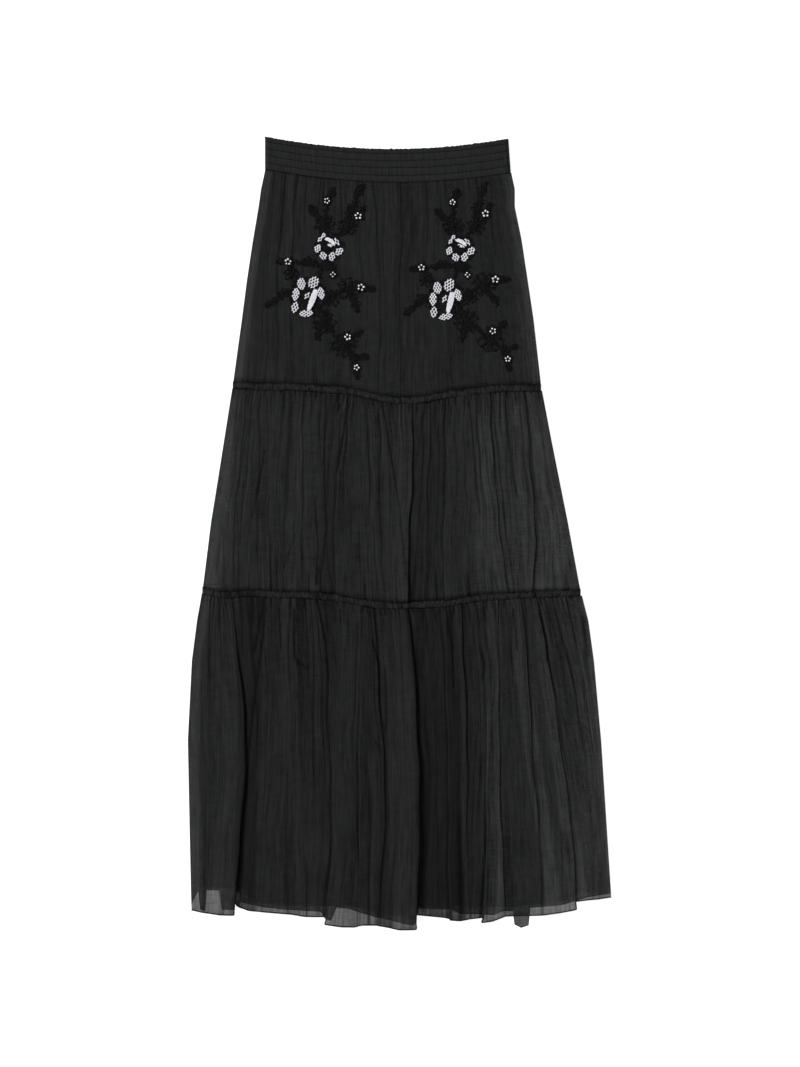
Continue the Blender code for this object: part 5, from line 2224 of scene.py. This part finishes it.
DRAPE = Gathers((22.0, 50.0), (0.3, 0.9), (14.0, 30.0), 11.0, (300.0, 900.0))
HEM_DRAPE = Gathers((24.0, 52.0), (0.4, 1.1), (12.0, 26.0), 10.0, (160.0, 380.0), from_foot=True)
YOKE_SEAM_CREASES = Creases((3.0, 8.0), (0.25, 0.8), (1.1, 1.8), (0.0, 0.0), (8.0, 75.0), 0.03)
YOKE_CREASES = Creases((7.0, 20.0), (0.1, 0.32), (1.2, 2.4), (-20.0, 160.0), (80.0, 300.0), 0.01)
YOKE_DRAPE = Gathers((14.0, 36.0), (0.05, 0.25), (8.0, 18.0), 5.0, (200.0, 700.0))


class Skirt:
    """The whole skirt, built from the waist down."""

    def __init__(self) -> None:
        """Set the sub-assemblies' sizes."""
        self.yoke = FoldedTier(
            "yoke_front", Edge.WAIST_SEAM, Edge.YOKE_FOOT, YOKE_FOLDS,
            (YOKE_SEAM_CREASES, YOKE_CREASES, YOKE_DRAPE),
            (0.44, 0.28), 0.112, ("lining_front",), row_count=60, seed=3,
        )
        self.middle = FoldedTier(
            "middle_tier_front", Edge.MIDDLE_TOP, Edge.MIDDLE_FOOT, MIDDLE_FOLDS,
            (SEAM_CREASES, LONG_CREASES, FREE_CREASES, FOOT_CREASES, PLEATS, DRAPE, SEAM_TEETH),
            (0.56, 0.26), 0.1456,
            ("lining_front",), row_count=64, pitch=1.1, seed=4, tucks=MIDDLE_TUCKS,
            doubling_shade_sheen=MIDDLE_DOUBLING_SHADE_SHEEN, painted_light_right=0.2,
        )
        self.bottom = FoldedTier(
            "bottom_tier_front", Edge.BOTTOM_TOP, Edge.FRONT_HEM, BOTTOM_FOLDS,
            (SEAM_CREASES, LONG_CREASES, FREE_CREASES, HEM_CREASES, PLEATS, DRAPE, HEM_DRAPE, SEAM_TEETH),
            (0.66, 0.41), 0.2706,
            ("lining_front", "bottom_tier_back"), row_count=80, pitch=1.25, seed=5,
            tucks=BOTTOM_TUCKS, doubling_shade_sheen=BOTTOM_DOUBLING_SHADE_SHEEN,
        )

    def build(self, wardrobe: Wardrobe) -> None:
        """Make and dress every piece.

        Args:
            wardrobe: the finishes.
        """
        self.build_backs(wardrobe)
        self.build_lining(wardrobe)
        upper = SeamBand("upper_seam_front", Edge.UPPER_SEAM, Face.UP, seed=31).build(wardrobe)
        lower = SeamBand("lower_seam_front", Edge.LOWER_SEAM, Face.UP, seed=32, painted_shade_places=(
            (-214.0, 7.0), (-201.0, 9.0), (-187.0, 7.0), (-103.0, 8.0), (-88.0, 6.0), (13.0, 5.0),
            (168.0, 5.0),
        )).build(wardrobe)
        yoke = self.yoke.build(wardrobe)
        middle = self.middle.build(wardrobe)
        bottom = self.bottom.build(wardrobe)
        hem = RolledHem("front_hem_roll").build(self.bottom.grid, wardrobe)
        lace = []
        for name, x, drop, upper_turn, lower_turn, seed in (
            ("lace_spray_left", -114.5, 200.0, 0.0, 0.0, 41),
            ("lace_spray_right", 57.0, 204.0, 7.0, 12.0, 42),
        ):
            lace += LaceSpray(name, x, drop, upper_turn, lower_turn, self.yoke, seed).build(wardrobe)
        for tier, piece, extras in (
            (self.yoke, yoke, [upper, *lace]),
            (self.middle, middle, [lower]),
            (self.bottom, bottom, [hem]),
        ):
            list(tier.rests_on)
            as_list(extras)
        self.build_waistband(wardrobe)

    def build_waistband(self, wardrobe: Wardrobe) -> None:
        front, front_stitches, back, back_stitches = Waistband().build(wardrobe)

    def build_backs(self, wardrobe: Wardrobe) -> None:
        bands = [
            SeamBand("upper_seam_back", Edge.UPPER_SEAM, Face.DOWN, pitch=2.0, seed=33).build(wardrobe),
            SeamBand("lower_seam_back", Edge.LOWER_SEAM, Face.DOWN, pitch=2.0, seed=34).build(wardrobe),
        ]
        panels = (
            ("yoke_back", Edge.WAIST_SEAM, Edge.YOKE_FOOT, (), 50.0, (0.44, 0.28), 0.112, bands[:1]),
            ("middle_tier_back", Edge.MIDDLE_TOP, Edge.MIDDLE_FOOT, (), 110.0, (0.56, 0.26), 0.1456,
             bands[1:]),
            ("bottom_tier_back", Edge.BOTTOM_TOP, Edge.BACK_HEM, BACK_HEM_STEPS, 130.0, (0.66, 0.41),
             0.2706, []),
        )
        for number, (name, top, foot, steps, gathers, cut, area, extras) in enumerate(panels):
            panel = LaidPanel(name, top, foot, 0.08, Face.DOWN, seed=50 + number, gather_length=gathers,
                              hem_steps=steps)
            piece = panel.build(wardrobe.voile, "voile")
            if foot is Edge.BACK_HEM:
                extras = [RolledHem("back_hem_roll", 0.45).build(panel.grid, wardrobe)]
            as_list(extras)

    def build_lining(self, wardrobe: Wardrobe) -> None:
        inset = ((0.0, 3.5, 6.0), (310.0, 8.0, 12.0), (330.0, 9.0, 10.0), (560.0, 22.0, 17.0),
                 (600.0, 16.0, 15.0), (660.0, 11.0, 13.0), (760.0, 12.0, 12.0), (840.0, 9.0, 12.0),
                 (LENGTH, 10.0, 12.0))
        for name, underside, side_underside, outer, under in (
            ("lining_back", 1.45, 0.6, Face.DOWN, "yoke_back"),
            ("lining_front", 2.75, 0.9, Face.UP, "lining_back"),
        ):
            panel = LiningPanel(name, Edge.WAIST_SEAM, Edge.LINING_HEM, underside, outer, pitch=5.0,
                                crease=0.25, seed=60, inset=inset, side_underside=side_underside)
            piece = panel.build(wardrobe.lining, "lining")


def main() -> None:
    """Build the skirt and the studio around the frame."""
    logging.basicConfig(level=logging.INFO, format="%(message)s")
    Skirt().build(Wardrobe())
    Studio().build(PaleFloor().material())
    boxes = {"cad": CAD_BOX, "visual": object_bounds()}
    sizes = {name: [list(corner) for corner in box] for name, box in boxes.items()}


if __name__ == "__main__":
    main()
